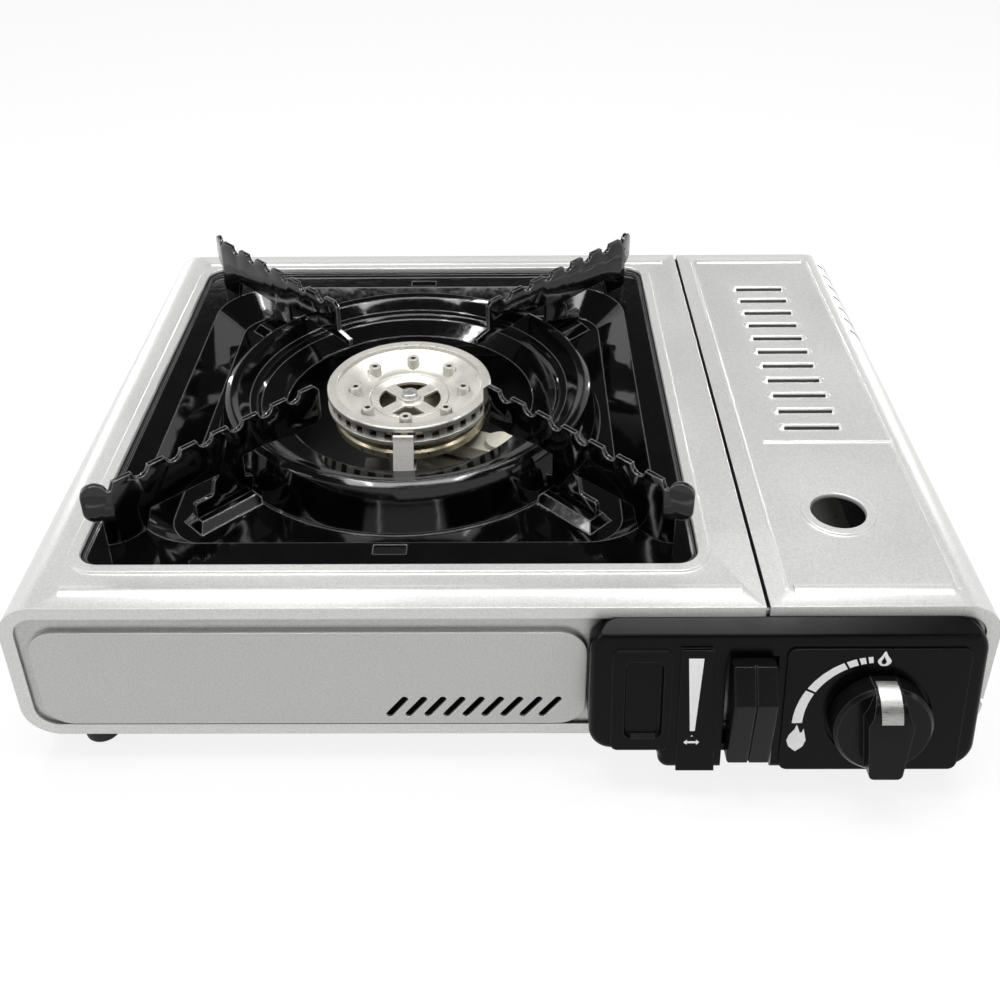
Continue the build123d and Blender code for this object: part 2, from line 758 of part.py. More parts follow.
with BuildPart() as electrode_wire:
    with BuildLine(wire_plane):
        Polyline((0, 0), (0, wire_rise), (wire_reach, wire_rise + wire_lift))
        fillet(vertices().sort_by(Axis.Z)[1], radius=wire_bend)
    with BuildSketch(Plane.XY.offset(electrode_top)):
        with Locations((electrode_x, electrode_y)):
            Circle(wire_radius)
    sweep()
electrode_wire.part.label = "electrode_wire"
export_step(electrode_wire.part, "parts/electrode_wire.step")

# ---------------------------------------------------------------- gas regulator
flange_radius = 21.0
flange_depth = 6.0
case_radius = 15.5
collar_radius = 18.0
collar_depth = 8.0
regulator_front = plate_front_y + sheet
inlet_gap = 5.8
regulator_rear = cartridge_front - inlet_gap
inlet_radius = 5.2
inlet_depth = 8.0
seal_radius = 4.4
seal_depth = 2.0
seal_bore = 2.2
outlet_radius = 7.0
outlet_end = 24.0
gland_radius = 5.4
gland_clear = 0.5
gland_face = cam_back + cam_thickness / 2 + gland_clear
gland_sink = 2.0
case_edge = 1.0
jet_seat_radius = 2.5
jet_seat_depth = 4.0
jet_hex_radius = 4.6
jet_nose_radius = 2.4
jet_nose_length = 5.0
jet_bore = 0.6
gland_depth = 16.0
bore_depth = 10.0
screw_radius = 1.5
screw_head = 3.0
screw_head_height = 1.6
screw_short = 0.5
inlet_plane = Plane(origin=(knob_x, regulator_rear, cartridge_z), x_dir=(1, 0, 0), z_dir=(0, 1, 0))

with BuildPart() as regulator_body:
    with BuildSketch(front_plane(regulator_front)):
        with Locations((knob_x, cartridge_z)):
            Circle(flange_radius)
    extrude(amount=-flange_depth)
    with BuildSketch(front_plane(regulator_front + flange_depth)):
        with Locations((knob_x, cartridge_z)):
            Circle(case_radius)
    extrude(amount=-(regulator_rear - regulator_front - flange_depth))
    with BuildSketch(inlet_plane):
        Circle(collar_radius)
    extrude(amount=-collar_depth)
    chamfer(regulator_body.edges().group_by(Axis.Y)[-1], length=case_edge)
    with BuildSketch(tube_plane):
        Circle(outlet_radius)
    extrude(amount=outlet_end)
    with BuildSketch(knob_plane.offset(-gland_face)):
        Circle(gland_radius)
    extrude(amount=-(gland_depth - gland_face + gland_sink))
    with BuildSketch(inlet_plane):
        Circle(inlet_radius)
    extrude(amount=-inlet_depth, mode=Mode.SUBTRACT)
    with BuildSketch(inlet_plane.offset(-inlet_depth)):
        Circle(seal_radius)
    extrude(amount=-seal_depth, mode=Mode.SUBTRACT)
    with BuildSketch(knob_plane.offset(-gland_face)):
        Circle(spindle_radius + clear_shaft)
    extrude(amount=-bore_depth, mode=Mode.SUBTRACT)
    with BuildSketch(front_plane(regulator_front)):
        with Locations(*regulator_screw_places):
            Circle(screw_radius)
    extrude(amount=-flange_depth, mode=Mode.SUBTRACT)
    with BuildSketch(tube_plane.offset(outlet_end)):
        Circle(jet_seat_radius)
    extrude(amount=-jet_seat_depth, mode=Mode.SUBTRACT)
regulator_body.part.label = "regulator_body"
export_step(regulator_body.part, "parts/regulator_body.step")

with BuildPart() as inlet_seal:
    with BuildSketch(inlet_plane.offset(-inlet_depth)):
        Circle(seal_radius)
        Circle(seal_bore, mode=Mode.SUBTRACT)
    extrude(amount=-seal_depth)
inlet_seal.part.label = "inlet_seal"
export_step(inlet_seal.part, "parts/inlet_seal.step")

with BuildPart() as gas_jet:
    with BuildSketch(tube_plane.offset(outlet_end - jet_seat_depth)):
        Circle(jet_seat_radius)
    extrude(amount=jet_seat_depth)
    with BuildSketch(tube_plane.offset(outlet_end)):
        RegularPolygon(radius=jet_hex_radius, side_count=6)
    extrude(amount=jet_seat_depth)
    with BuildSketch(tube_plane.offset(outlet_end + jet_seat_depth)):
        Circle(jet_nose_radius)
    extrude(amount=jet_nose_length)
    with BuildSketch(tube_plane.offset(outlet_end + jet_seat_depth + jet_nose_length)):
        Circle(jet_bore)
    extrude(amount=-jet_nose_length, mode=Mode.SUBTRACT)
gas_jet.part.label = "gas_jet"
export_step(gas_jet.part, "parts/gas_jet.step")

with BuildPart() as regulator_screws:
    with BuildSketch(front_plane(regulator_front - sheet)):
        with Locations(*regulator_screw_places):
            Circle(screw_head)
    extrude(amount=screw_head_height)
    with BuildSketch(front_plane(regulator_front - sheet)):
        with Locations(*regulator_screw_places):
            Circle(screw_radius)
    extrude(amount=-(sheet + flange_depth - screw_short))
regulator_screws.part.label = "regulator_screws"
export_step(regulator_screws.part, "parts/regulator_screws.step")

# ---------------------------------------------------------------- control panel
panel_corner = 10.0
panel_low_corner = 8.0
panel_step_in = 24.5
step_corner = 3.8
panel_edge = 2.6
panel_step_x = panel_left + panel_step_in
panel_step_z = panel_bottom + panel_step_drop
lever_left = gap_x - 12.5
lever_right = gap_x + 2.5
lever_mid = (lever_left + lever_right) / 2
lever_side_gap = 1.3
slot_top = 7.5
slot_back = 8.6
lever_top = 8.3
lever_end = 48.8
box_left = panel_left + 7.5
box_right = panel_left + 28.0
box_high = 5.0
box_low = 46.0
box_radius = 2.5
box_depth = 1.2
pocket_left = box_left + 4.4
pocket_right = box_right - 2.8
pocket_high = box_high + 4.4
pocket_low = box_low - 4.8
pocket_radius = 3.0
wedge_left = gap_x - 29.6
wedge_right = gap_x - 16.2
wedge_slant = 2.6
wedge_height = 1.4
plate_left = gap_x + 6.5
plate_right = half_width - 12.1
plate_high = 4.2
plate_low = 54.4
plate_radius = 3.0
dial_recess = 0.8
dial_recess_radius = knob_radius + 1.2
spindle_hole_radius = spindle_radius + 2.0
boss_radius = 4.2
panel_screw_grip = 5.5


def face_point(down, out):
    """Point (Y, Z) at a distance down the panel face and a height out of it."""
    tilt = radians(face_tilt)
    return (fold_y - down * sin(tilt) - out * cos(tilt), fold_z - down * cos(tilt) + out * sin(tilt))


def panel_block(inset, edge_round):
    """Wedge-shaped panel body with its stepped lower edge, moved in by an inset."""
    with BuildPart() as block:
        with BuildSketch(front_plane(front_y)) as outline:
            with BuildLine():
                Polyline(
                    (panel_left, panel_top), (panel_right, panel_top), (panel_right, panel_bottom),
                    (panel_step_x, panel_bottom), (panel_step_x, panel_step_z), (panel_left, panel_step_z),
                    (panel_left, panel_top),
                )
            make_face()
            fillet(outline.vertices().sort_by_distance((panel_step_x, panel_bottom))[0], radius=step_corner)
            fillet(outline.vertices().sort_by_distance((panel_step_x, panel_step_z))[0], radius=step_corner)
            fillet(outline.vertices().sort_by_distance((panel_left, panel_step_z))[0], radius=panel_low_corner)
            fillet(outline.vertices().sort_by_distance((panel_right, panel_bottom))[0], radius=panel_corner)
            fillet(outline.vertices().sort_by_distance((panel_left, panel_top))[0], radius=panel_corner)
            fillet(outline.vertices().sort_by_distance((panel_right, panel_top))[0], radius=panel_corner)
            if inset > 0:
                offset(amount=-inset)
        extrude(amount=panel_width)
        with BuildSketch(Plane.YZ.offset(panel_left)):
            with BuildLine():
                Polyline(
                    (front_y, panel_top - inset), face_point(inset, -inset), face_point(panel_top, -inset),
                    (front_y, face_point(panel_top, 0)[1]), (front_y, panel_top - inset),
                )
            make_face()
        extrude(amount=panel_width, mode=Mode.INTERSECT)
        if edge_round > 0:
            fillet(block.faces().sort_by(Axis((0, 0, 0), face_normal))[-1].edges(), radius=edge_round)
    return block.part


panel_cavity = panel_block(panel_wall, 0)
panel_outer = panel_block(0, panel_edge)
panel_walls = panel_outer - panel_cavity

with BuildPart() as control_panel:
    # mounting bosses, trimmed by the panel and reaching back to the body plate
    with BuildSketch(front_plane(front_y)):
        with Locations(*panel_screw_places):
            Circle(boss_radius)
    extrude(amount=panel_width)
    add(panel_outer, mode=Mode.INTERSECT)
    with BuildSketch(front_plane(front_y)):
        with Locations(*panel_screw_places):
            Circle(boss_radius)
    extrude(amount=-hem_depth)
    add(panel_walls)
    with BuildSketch(front_plane(front_y + hem_depth)):
        with Locations(*panel_screw_places):
            Circle(panel_screw_radius)
    extrude(amount=panel_screw_grip, mode=Mode.SUBTRACT)
    # raised wedge beside the lever
    with BuildSketch(face_plane):
        with BuildLine():
            Polyline(
                (wedge_left, -plate_high), (wedge_right - wedge_slant, -plate_high), (wedge_right, -plate_low),
                (wedge_left, -plate_low), (wedge_left, -plate_high),
            )
        make_face()
    extrude(amount=wedge_height)
    # framed window on the left, with a rounded pocket
    with BuildSketch(face_plane):
        with Locations(((box_left + box_right) / 2, -(box_high + box_low) / 2)):
            RectangleRounded(box_right - box_left, box_low - box_high, box_radius)
    extrude(amount=pad_height)
    with BuildSketch(face_plane.offset(pad_height)):
        with Locations(((pocket_left + pocket_right) / 2, -(pocket_high + pocket_low) / 2)):
            RectangleRounded(pocket_right - pocket_left, pocket_low - pocket_high, pocket_radius)
    extrude(amount=-(pad_height + box_depth), taper=20, mode=Mode.SUBTRACT)
    # lever slot, open at the bottom
    with BuildSketch(face_plane.offset(-slot_back)):
        with Locations((lever_mid, -(slot_top + 2 * fold_z) / 2)):
            Rectangle(lever_right - lever_left + 2 * lever_side_gap, 2 * fold_z - slot_top)
    extrude(amount=slot_back + 2 * panel_wall, mode=Mode.SUBTRACT)
    # knob well and spindle hole
    with BuildSketch(knob_plane):
        Circle(dial_recess_radius)
    extrude(amount=-dial_recess, mode=Mode.SUBTRACT)
    with BuildSketch(knob_plane):
        Circle(spindle_hole_radius)
    extrude(amount=-3 * panel_wall, mode=Mode.SUBTRACT)
control_panel.part.label = "control_panel"
export_step(control_panel.part, "parts/control_panel.step")

with BuildPart() as dial_plate:
    with BuildSketch(face_plane):
        with Locations(((plate_left + plate_right) / 2, -(plate_high + plate_low) / 2)):
            RectangleRounded(plate_right - plate_left, plate_low - plate_high, plate_radius)
        with Locations((knob_x, -knob_down)):
            Circle(dial_recess_radius, mode=Mode.SUBTRACT)
    extrude(amount=pad_height)
dial_plate.part.label = "dial_plate"
export_step(dial_plate.part, "parts/dial_plate.step")

with BuildPart() as panel_screws:
    with BuildSketch(front_plane(regulator_front)):
        with Locations(*panel_screw_places):
            Circle(screw_head)
    extrude(amount=-screw_head_height)
    with BuildSketch(front_plane(regulator_front)):
        with Locations(*panel_screw_places):
            Circle(panel_screw_radius)
    extrude(amount=sheet + panel_screw_grip - screw_short)
panel_screws.part.label = "panel_screws"
export_step(panel_screws.part, "parts/panel_screws.step")

# ---------------------------------------------------------------- knob, spindle and igniter
knob_gap = clear_move
knob_seat = knob_gap - dial_recess
knob_grip_depth = 6.0
drum_edge = 1.2
grip_corner = 2.0
grip_low = 14.8
grip_low_half = 5.6
grip_waist_half = 7.0
grip_shoulder_half = 7.7
grip_neck_half = 6.3
grip_tip_half = 4.4
grip_shoulder = 7.0
grip_neck = 9.6
grip_tip = 16.8
ridge_radius = 11.2
ridge_along = 5.8
ridge_out = 4.0
ridge_high = 79.0
ridge_middle = 37.0
ridge_low = -5.0
pointer_low = 0.0
pointer_half = 3.6
pointer_proud = 0.3
pointer_depth = 0.7
pointer_cut = 3.0
grip_plane = Plane(origin=knob_plane.origin, x_dir=knob_plane.y_dir, z_dir=(1, 0, 0))


def ridge_point(out, angle):
    """Point on the knob's curved ridge, moved out by a distance: along the grip, out of the face."""
    radius = ridge_radius + out
    return (ridge_along + radius * cos(radians(angle)), ridge_out + radius * sin(radians(angle)))


def ridge_band(low, high, half):
    """Curved strip along the knob's ridge between two heights."""
    with BuildPart() as band:
        with BuildSketch(grip_plane):
            with BuildLine():
                ThreePointArc(ridge_point(high, ridge_high), ridge_point(high, ridge_middle),
                              ridge_point(high, pointer_low))
                Line(ridge_point(high, pointer_low), ridge_point(low, pointer_low))
                ThreePointArc(ridge_point(low, pointer_low), ridge_point(low, ridge_middle),
                              ridge_point(low, ridge_high))
                Line(ridge_point(low, ridge_high), ridge_point(high, ridge_high))
            make_face()
        extrude(amount=half, both=True)
    return band.part


with BuildPart() as knob_grip:
    with BuildSketch(knob_plane.offset(knob_gap)) as grip_plan:
        with BuildLine():
            Polyline(
                (-grip_low_half, -grip_low), (-grip_waist_half, 0), (-grip_shoulder_half, grip_shoulder),
                (-grip_neck_half, grip_neck), (-grip_tip_half, grip_tip), (grip_tip_half, grip_tip),
                (grip_neck_half, grip_neck), (grip_shoulder_half, grip_shoulder), (grip_waist_half, 0),
                (grip_low_half, -grip_low), (-grip_low_half, -grip_low),
            )
        make_face()
        fillet(grip_plan.vertices().group_by(Axis.Y)[0], radius=grip_corner)
    extrude(amount=knob_bar_top)
    with BuildSketch(grip_plane):
        with BuildLine():
            Line((-grip_low, knob_gap), (-grip_low, knob_bar_top))
            Line((-grip_low, knob_bar_top), ridge_point(0, ridge_high))
            ThreePointArc(ridge_point(0, ridge_high), ridge_point(0, ridge_middle), ridge_point(0, ridge_low))
            Line(ridge_point(0, ridge_low), (grip_tip, knob_gap))
            Line((grip_tip, knob_gap), (-grip_low, knob_gap))
        make_face()
    extrude(amount=knob_radius, both=True, mode=Mode.INTERSECT)

with BuildPart() as knob:
    with BuildSketch(knob_plane.offset(knob_seat)):
        Circle(knob_radius)
    extrude(amount=knob_drum_top - knob_seat)
    chamfer(knob.edges().filter_by(GeomType.CIRCLE).sort_by(Axis.Y)[0], length=drum_edge)
    add(knob_grip.part)
    with BuildSketch(knob_plane.offset(knob_seat)):
        Circle(spindle_radius)
    extrude(amount=knob_grip_depth, mode=Mode.SUBTRACT)
    add(ridge_band(-pointer_depth, pointer_cut, pointer_half), mode=Mode.SUBTRACT)
knob.part.label = "knob"
export_step(knob.part, "parts/knob.step")

with BuildPart() as knob_pointer:
    add(ridge_band(-pointer_depth, pointer_proud, pointer_half))
knob_pointer.part.label = "knob_pointer"
export_step(knob_pointer.part, "parts/knob_pointer.step")

spindle_short = 0.5

with BuildPart() as valve_spindle:
    with BuildSketch(knob_plane.offset(knob_seat + knob_grip_depth)):
        Circle(spindle_radius)
    extrude(amount=-(knob_seat + knob_grip_depth + gland_face + bore_depth - spindle_short))
valve_spindle.part.label = "valve_spindle"
export_step(valve_spindle.part, "parts/valve_spindle.step")

cam_steps = 8
cam_points = [
    ((cam_radius + cam_rise * i / cam_steps) * cos(radians(180 - knob_turn * i / cam_steps)),
     (cam_radius + cam_rise * i / cam_steps) * sin(radians(180 - knob_turn * i / cam_steps)))
    for i in range(cam_steps + 1)
]
drop_angle = radians(180 - knob_turn)

with BuildPart() as igniter_cam:
    with BuildSketch(knob_plane.offset(-cam_back - cam_thickness / 2)):
        with BuildLine():
            Spline(*cam_points)
            Line(cam_points[-1], (cam_radius * cos(drop_angle), cam_radius * sin(drop_angle)))
            ThreePointArc((cam_radius * cos(drop_angle), cam_radius * sin(drop_angle)),
                          (cam_radius * cos(drop_angle / 2 - pi / 2), cam_radius * sin(drop_angle / 2 - pi / 2)),
                          cam_points[0])
        make_face()
        Circle(spindle_radius, mode=Mode.SUBTRACT)
    extrude(amount=cam_thickness)
igniter_cam.part.label = "igniter_cam"
export_step(igniter_cam.part, "parts/igniter_cam.step")

piezo_left = knob_x - 32.5
piezo_right = knob_x - 15.0
piezo_height = 9.0
plunger_radius = 2.5
plunger_gap = 0.35
plunger_round = 1.6
plunger_end_gap = 0.5
cam_centre = knob_plane.from_local_coords(Vector(0, 0, -cam_back))
piezo_front = 2 * cam_centre.Y - plate_front_y
plunger_stroke = cam_rise
plunger_tip = knob_x - cam_radius - plunger_gap
plunger_tail = 10.0

with BuildPart() as piezo_igniter:
    with BuildSketch(front_plane(plate_front_y)):
        with Locations(((piezo_left + piezo_right) / 2, cam_centre.Z)):
            Rectangle(piezo_right - piezo_left, piezo_height)
    extrude(amount=plate_front_y - piezo_front)
    with BuildSketch(Plane.YZ.offset(piezo_right)):
        with Locations((cam_centre.Y, cam_centre.Z)):
            Circle(plunger_radius + clear_shaft)
    extrude(amount=-(plunger_tail + plunger_stroke + plunger_end_gap), mode=Mode.SUBTRACT)
piezo_igniter.part.label = "piezo_igniter"
export_step(piezo_igniter.part, "parts/piezo_igniter.step")

with BuildPart() as piezo_plunger:
    with BuildSketch(Plane.YZ.offset(piezo_right - plunger_tail)):
        with Locations((cam_centre.Y, cam_centre.Z)):
            Circle(plunger_radius)
    extrude(amount=plunger_tip - piezo_right + plunger_tail)
    fillet(piezo_plunger.edges().sort_by(Axis.X)[-1], radius=plunger_round)
piezo_plunger.part.label = "piezo_plunger"
export_step(piezo_plunger.part, "parts/piezo_plunger.step")

# ---------------------------------------------------------------- feet
foot_radius = 7.5
foot_recess = 4.5
recess_depth = 5.0
foot_taper = 4
foot_waist = 1.0
foot_round = 0.8
screw_head_less = 0.6
screw_head_thick = 1.8
screw_past_floor = 2.0

with BuildPart() as foot_maker:
    with BuildSketch(Plane.XY):
        Circle(foot_radius - foot_waist)
    extrude(amount=foot_height, taper=-foot_taper)
    fillet(foot_maker.edges().group_by(Axis.Z)[0], radius=foot_round)
    with BuildSketch(Plane.XY):
        Circle(foot_recess)
    extrude(amount=recess_depth, mode=Mode.SUBTRACT)
    with BuildSketch(Plane.XY):
        Circle(foot_screw_radius)
    extrude(amount=foot_height, mode=Mode.SUBTRACT)

foot_names = ("foot_front_left", "foot_front_right", "foot_rear_left", "foot_rear_right")
for foot_name, (place_x, place_y) in zip(foot_names, foot_places):
    foot_part = Pos(place_x, place_y, 0) * foot_maker.part
    foot_part.label = foot_name
    export_step(foot_part, "parts/" + foot_name + ".step")

with BuildPart() as foot_screws:
    with BuildSketch(Plane.XY.offset(recess_depth)):
        with Locations(*foot_places):
            Circle(foot_recess - screw_head_less)
    extrude(amount=-screw_head_thick)
    with BuildSketch(Plane.XY.offset(recess_depth)):
        with Locations(*foot_places):
            Circle(foot_screw_radius)
    extrude(amount=floor_z + screw_past_floor - recess_depth)
foot_screws.part.label = "foot_screws"
export_step(foot_screws.part, "parts/foot_screws.step")

# ---------------------------------------------------------------- lid
flange_drop = 8.0
lip_inset = 5.0
lip_thick = 0.6
lip_gap = clear_move
louvre_count = 11
louvre_pitch = 12.17
louvre_behind = 92.0
louvre_first_y = burner_y + louvre_behind
louvre_inset = 43.7
louvre_x = half_width - louvre_inset
louvre_length = 27.5
louvre_rise = 1.8
louvre_width = 5.0
louvre_slot = 1.6
louvre_mouth = 0.9
finger_inset = 45.5
finger_x = half_width - finger_inset
finger_ahead = 86.0
finger_y = burner_y - finger_ahead
finger_radius = 10.1
finger_ring = 14.0
finger_rise = 0.8
step_ahead = 40.3
step_y = burner_y - step_ahead
step_inset = 65.4
step_left = half_width - step_inset
step_right = half_width - edge_radius
step_width = 1.8
step_rise = 0.6
bead_inset_left = 70.5
bead_inset_right = 16.0
bead_left = half_width - bead_inset_left
bead_right = half_width - bead_inset_right
ridge_x = gap_x + 7.8
ridge_width = 1.4
ridge_rise = 0.5
crease_width = 1.2
crease_rise = 0.35
crease_x = half_width - edge_radius - crease_width / 2
press_slope = 35
side_slot_count = 7
side_slot_first = 50.0
side_slot_pitch = 11.3
side_slot_lean = 60.0
side_slot_length = 12.0
side_slot_width = 2.6
lid_bend_tilt = radians(40.0)
lid_bend = Plane(origin=(half_width - edge_radius, burner_y, top_height - edge_radius), x_dir=(0, 1, 0),
                 z_dir=(cos(lid_bend_tilt), 0, sin(lid_bend_tilt)))
lid_length = body_depth - 2 * lip_gap
lid_rear_y = rear_y - lip_gap
lid_region_width = half_width - lid_edge_x
lid_region_height = top_height - lid_skin_bottom
lid_region = Pos(lid_edge_x + lid_region_width / 2, lid_skin_bottom + lid_region_height / 2) * Rectangle(
    lid_region_width, lid_region_height
)
lid_skin_face = (shell_outline(0) - shell_outline(sheet)) & lid_region
lid_lip_face = (shell_outline(0) - shell_outline(lip_inset)) & lid_region

with BuildPart() as lid:
    with BuildSketch(front_plane(lid_rear_y)):
        add(lid_skin_face)
    extrude(amount=lid_length)
    with BuildSketch(front_plane(wall_rear - lip_gap)):
        with Locations((lid_edge_x + sheet / 2, top_height - flange_drop / 2)):
            Rectangle(sheet, flange_drop)
    extrude(amount=wall_rear - wall_front - 2 * lip_gap)
    with BuildSketch(front_plane(front_y + lip_gap + lip_thick)):
        add(lid_lip_face)
    extrude(amount=lip_thick)
    with BuildSketch(front_plane(lid_rear_y)):
        add(lid_lip_face)
    extrude(amount=lip_thick)
    # beads that carry on from the body
    with BuildSketch(Plane.YZ.offset(bead_left)):
        for bead_y in (front_bead_y, rear_bead_y):
            with BuildLine():
                ThreePointArc((bead_y - bead_width / 2, top_height), (bead_y, top_height + bead_height),
                              (bead_y + bead_width / 2, top_height))
                Line((bead_y - bead_width / 2, top_height), (bead_y + bead_width / 2, top_height))
            make_face()
    extrude(amount=bead_right - bead_left)
    # long ridges beside the gap and along the fold
    with BuildSketch(Plane.XY.offset(top_height)):
        with Locations((ridge_x, (front_bead_y + rear_bead_y) / 2)):
            Rectangle(ridge_width, rear_bead_y - front_bead_y)
    extrude(amount=ridge_rise, taper=press_slope)
    with BuildSketch(Plane.XY.offset(top_height)):
        with Locations((crease_x, (front_bead_y + rear_bead_y) / 2)):
            Rectangle(crease_width, rear_bead_y - front_bead_y)
    extrude(amount=crease_rise, taper=press_slope)
    # louvre blisters
    with BuildSketch(Plane.XY.offset(top_height)):
        for i in range(louvre_count):
            with Locations((louvre_x, louvre_first_y - i * louvre_pitch)):
                SlotOverall(louvre_length, louvre_width)
    extrude(amount=louvre_rise, taper=45)
    # ring pressed round the finger hole, and the raised step line
    with BuildSketch(Plane.XY.offset(top_height)):
        with Locations((finger_x, finger_y)):
            Circle(finger_ring)
            Circle(finger_radius, mode=Mode.SUBTRACT)
    extrude(amount=finger_rise, taper=25)
    with BuildSketch(Plane.XY.offset(top_height)):
        with Locations(((step_left + step_right) / 2, step_y)):
            Rectangle(step_right - step_left, step_width)
    extrude(amount=step_rise, taper=press_slope)
    with BuildSketch(Plane.XY.offset(top_height - 2 * sheet)):
        for i in range(louvre_count):
            with Locations((louvre_x, louvre_first_y - i * louvre_pitch - louvre_width / 2 + louvre_mouth)):
                Rectangle(louvre_length - louvre_width, louvre_slot)
        with Locations((finger_x, finger_y)):
            Circle(finger_radius)
    extrude(amount=3 * sheet, mode=Mode.SUBTRACT)
    # slots in the right-hand bend
    with BuildSketch(lid_bend.offset(edge_radius - 3 * sheet)):
        for i in range(side_slot_count):
            with Locations(Location((side_slot_first + i * side_slot_pitch, 0, 0), (0, 0, side_slot_lean))):
                SlotOverall(side_slot_length, side_slot_width)
    extrude(amount=5 * sheet, mode=Mode.SUBTRACT)
lid.part.label = "lid"
export_step(lid.part, "parts/lid.step")

# ---------------------------------------------------------------- lid hinge
hinge_plate = 1.5
hinge_side_gap = 0.5
bracket_gap = 3.3
arm_outset = 9.0
arm_wide = 6.0
ear_rise = 10.0
arm_right = hinge_x - arm_outset
arm_left = arm_right - arm_wide
ear_top = hinge_z + ear_rise
body_mid_y = (front_y + rear_y) / 2
bracket_y = wall_front + bracket_gap
ear_y = bracket_y + hinge_plate + hinge_side_gap
mirror_y = Plane.XZ.offset(-body_mid_y)
bracket_foot = 10.0
pin_cap_less = 0.4
pin_cap_thick = 0.8
ear_tip = 3.0

with BuildPart() as lid_brackets:
    with BuildSketch(front_plane(bracket_y + hinge_plate)):
        with Locations((hinge_x, hinge_z)):
            Circle(hinge_head_radius)
        with BuildLine():
            Polyline(
                (hinge_x, hinge_z + hinge_head_radius), (arm_left, hinge_z + hinge_head_radius), (arm_left, floor_z),
                (arm_right, floor_z), (arm_right, hinge_z - hinge_pin_radius), (hinge_x, hinge_z - hinge_pin_radius),
                (hinge_x, hinge_z + hinge_head_radius),
            )
        make_face()
        with Locations((hinge_x, hinge_z)):
            Circle(hinge_pin_radius, mode=Mode.SUBTRACT)
    extrude(amount=hinge_plate)
    with BuildSketch(Plane.XY.offset(floor_z)):
        with Locations(((arm_left + arm_right) / 2, bracket_y + bracket_foot / 2)):
            Rectangle(arm_right - arm_left, bracket_foot)
    extrude(amount=hinge_plate)
    mirror(about=mirror_y)
lid_brackets.part.label = "lid_brackets"
export_step(lid_brackets.part, "parts/lid_brackets.step")

with BuildPart() as lid_pins:
    with BuildSketch(front_plane(bracket_y)):
        with Locations((hinge_x, hinge_z)):
            Circle(hinge_pin_radius)
    extrude(amount=-(2 * hinge_plate + 2 * hinge_side_gap))
    with BuildSketch(front_plane(ear_y + hinge_plate + hinge_side_gap)):
        with Locations((hinge_x, hinge_z)):
            Circle(hinge_head_radius - pin_cap_less)
    extrude(amount=-pin_cap_thick)
    mirror(about=mirror_y)
lid_pins.part.label = "lid_pins"
export_step(lid_pins.part, "parts/lid_pins.step")

with BuildPart() as lid_ears:
    with BuildSketch(front_plane(ear_y + hinge_plate)):
        with Locations((hinge_x, hinge_z)):
            Circle(hinge_head_radius)
        with BuildLine():
            Polyline(
                (hinge_x - hinge_head_radius, hinge_z), (inner_right, hinge_z), (inner_right, ear_top),
                (inner_right - ear_tip, ear_top), (hinge_x - hinge_head_radius, hinge_z),
            )
        make_face()
        with Locations((hinge_x, hinge_z)):
            Circle(hinge_pin_radius + clear_shaft, mode=Mode.SUBTRACT)
    extrude(amount=hinge_plate)
    mirror(about=mirror_y)
lid_ears.part.label = "lid_ears"
export_step(lid_ears.part, "parts/lid_ears.step")

# ---------------------------------------------------------------- lock lever
arm_gap = 0.6
arm_thick = 1.6
arm_x = main_edge_x + arm_gap
lever_hub_radius = 6.0
hub_length = 3.0
hub_step = 1.5
hub_end = arm_x + hub_length
hub_hole = lever_axle_radius + clear_shaft
clip_gap = clear_move
clip_radius = 4.0
clip_thick = 0.8
fork_x = gap_x + 4.7
fork_thick = 1.2
fork_half = 6.0
grip_back = 2.5
grip_pocket = 9.0
grip_head = 5.0
grip_crest = 11.0
grip_crest_down = 20.0
grip_foot = 4.0
grip_round = 1.0
groove_width = 0.7
groove_depth = 1.1
groove_open = 15.0
crank_eye = 2.2
crank_half = 4.0
arm_low = 3.0
arm_high = 11.0
arm_shoulder = 9.0
pin_past_fork = 1.4
arm_front_y = face_point(lever_top + grip_pocket, -grip_back)[0]

with BuildPart() as lever_axle:
    with BuildSketch(Plane.YZ.offset(wall_x - clip_thick)):
        with Locations((lever_axis_y, lever_axis_z)):
            Circle(clip_radius)
    extrude(amount=clip_thick)
    with BuildSketch(Plane.YZ.offset(wall_x)):
        with Locations((lever_axis_y, lever_axis_z)):
            Circle(lever_axle_radius)
    extrude(amount=hub_end + clip_gap + clip_thick - wall_x)
    with BuildSketch(Plane.YZ.offset(hub_end + clip_gap)):
        with Locations((lever_axis_y, lever_axis_z)):
            Circle(clip_radius)
    extrude(amount=clip_thick)
lever_axle.part.label = "lever_axle"
export_step(lever_axle.part, "parts/lever_axle.step")

with BuildPart() as lever_arm:
    with BuildSketch(Plane.YZ.offset(arm_x)):
        with Locations((lever_axis_y, lever_axis_z)):
            Circle(lever_hub_radius)
        with Locations((crank_pin_y, crank_pin_z)):
            Circle(crank_pin_radius + crank_eye)
        with BuildLine():
            Polyline(
                (crank_pin_y - crank_half, crank_pin_z), (crank_pin_y + crank_half, crank_pin_z),
                (lever_axis_y + lever_hub_radius, lever_axis_z), (lever_axis_y, lever_axis_z - lever_hub_radius),
                (arm_front_y, lever_axis_z - arm_low), (arm_front_y, lever_axis_z + arm_high),
                (lever_axis_y - lever_hub_radius, lever_axis_z + arm_shoulder),
                (crank_pin_y - crank_half, crank_pin_z),
            )
        make_face()
        with Locations((lever_axis_y, lever_axis_z)):
            Circle(hub_hole, mode=Mode.SUBTRACT)
    extrude(amount=arm_thick)
    with BuildSketch(Plane.YZ.offset(arm_x + arm_thick)):
        with Locations((lever_axis_y, lever_axis_z)):
            Circle(lever_hub_radius - hub_step)
            Circle(hub_hole, mode=Mode.SUBTRACT)
    extrude(amount=hub_end - arm_x - arm_thick)
lever_arm.part.label = "lever_arm"
export_step(lever_arm.part, "parts/lever_arm.step")

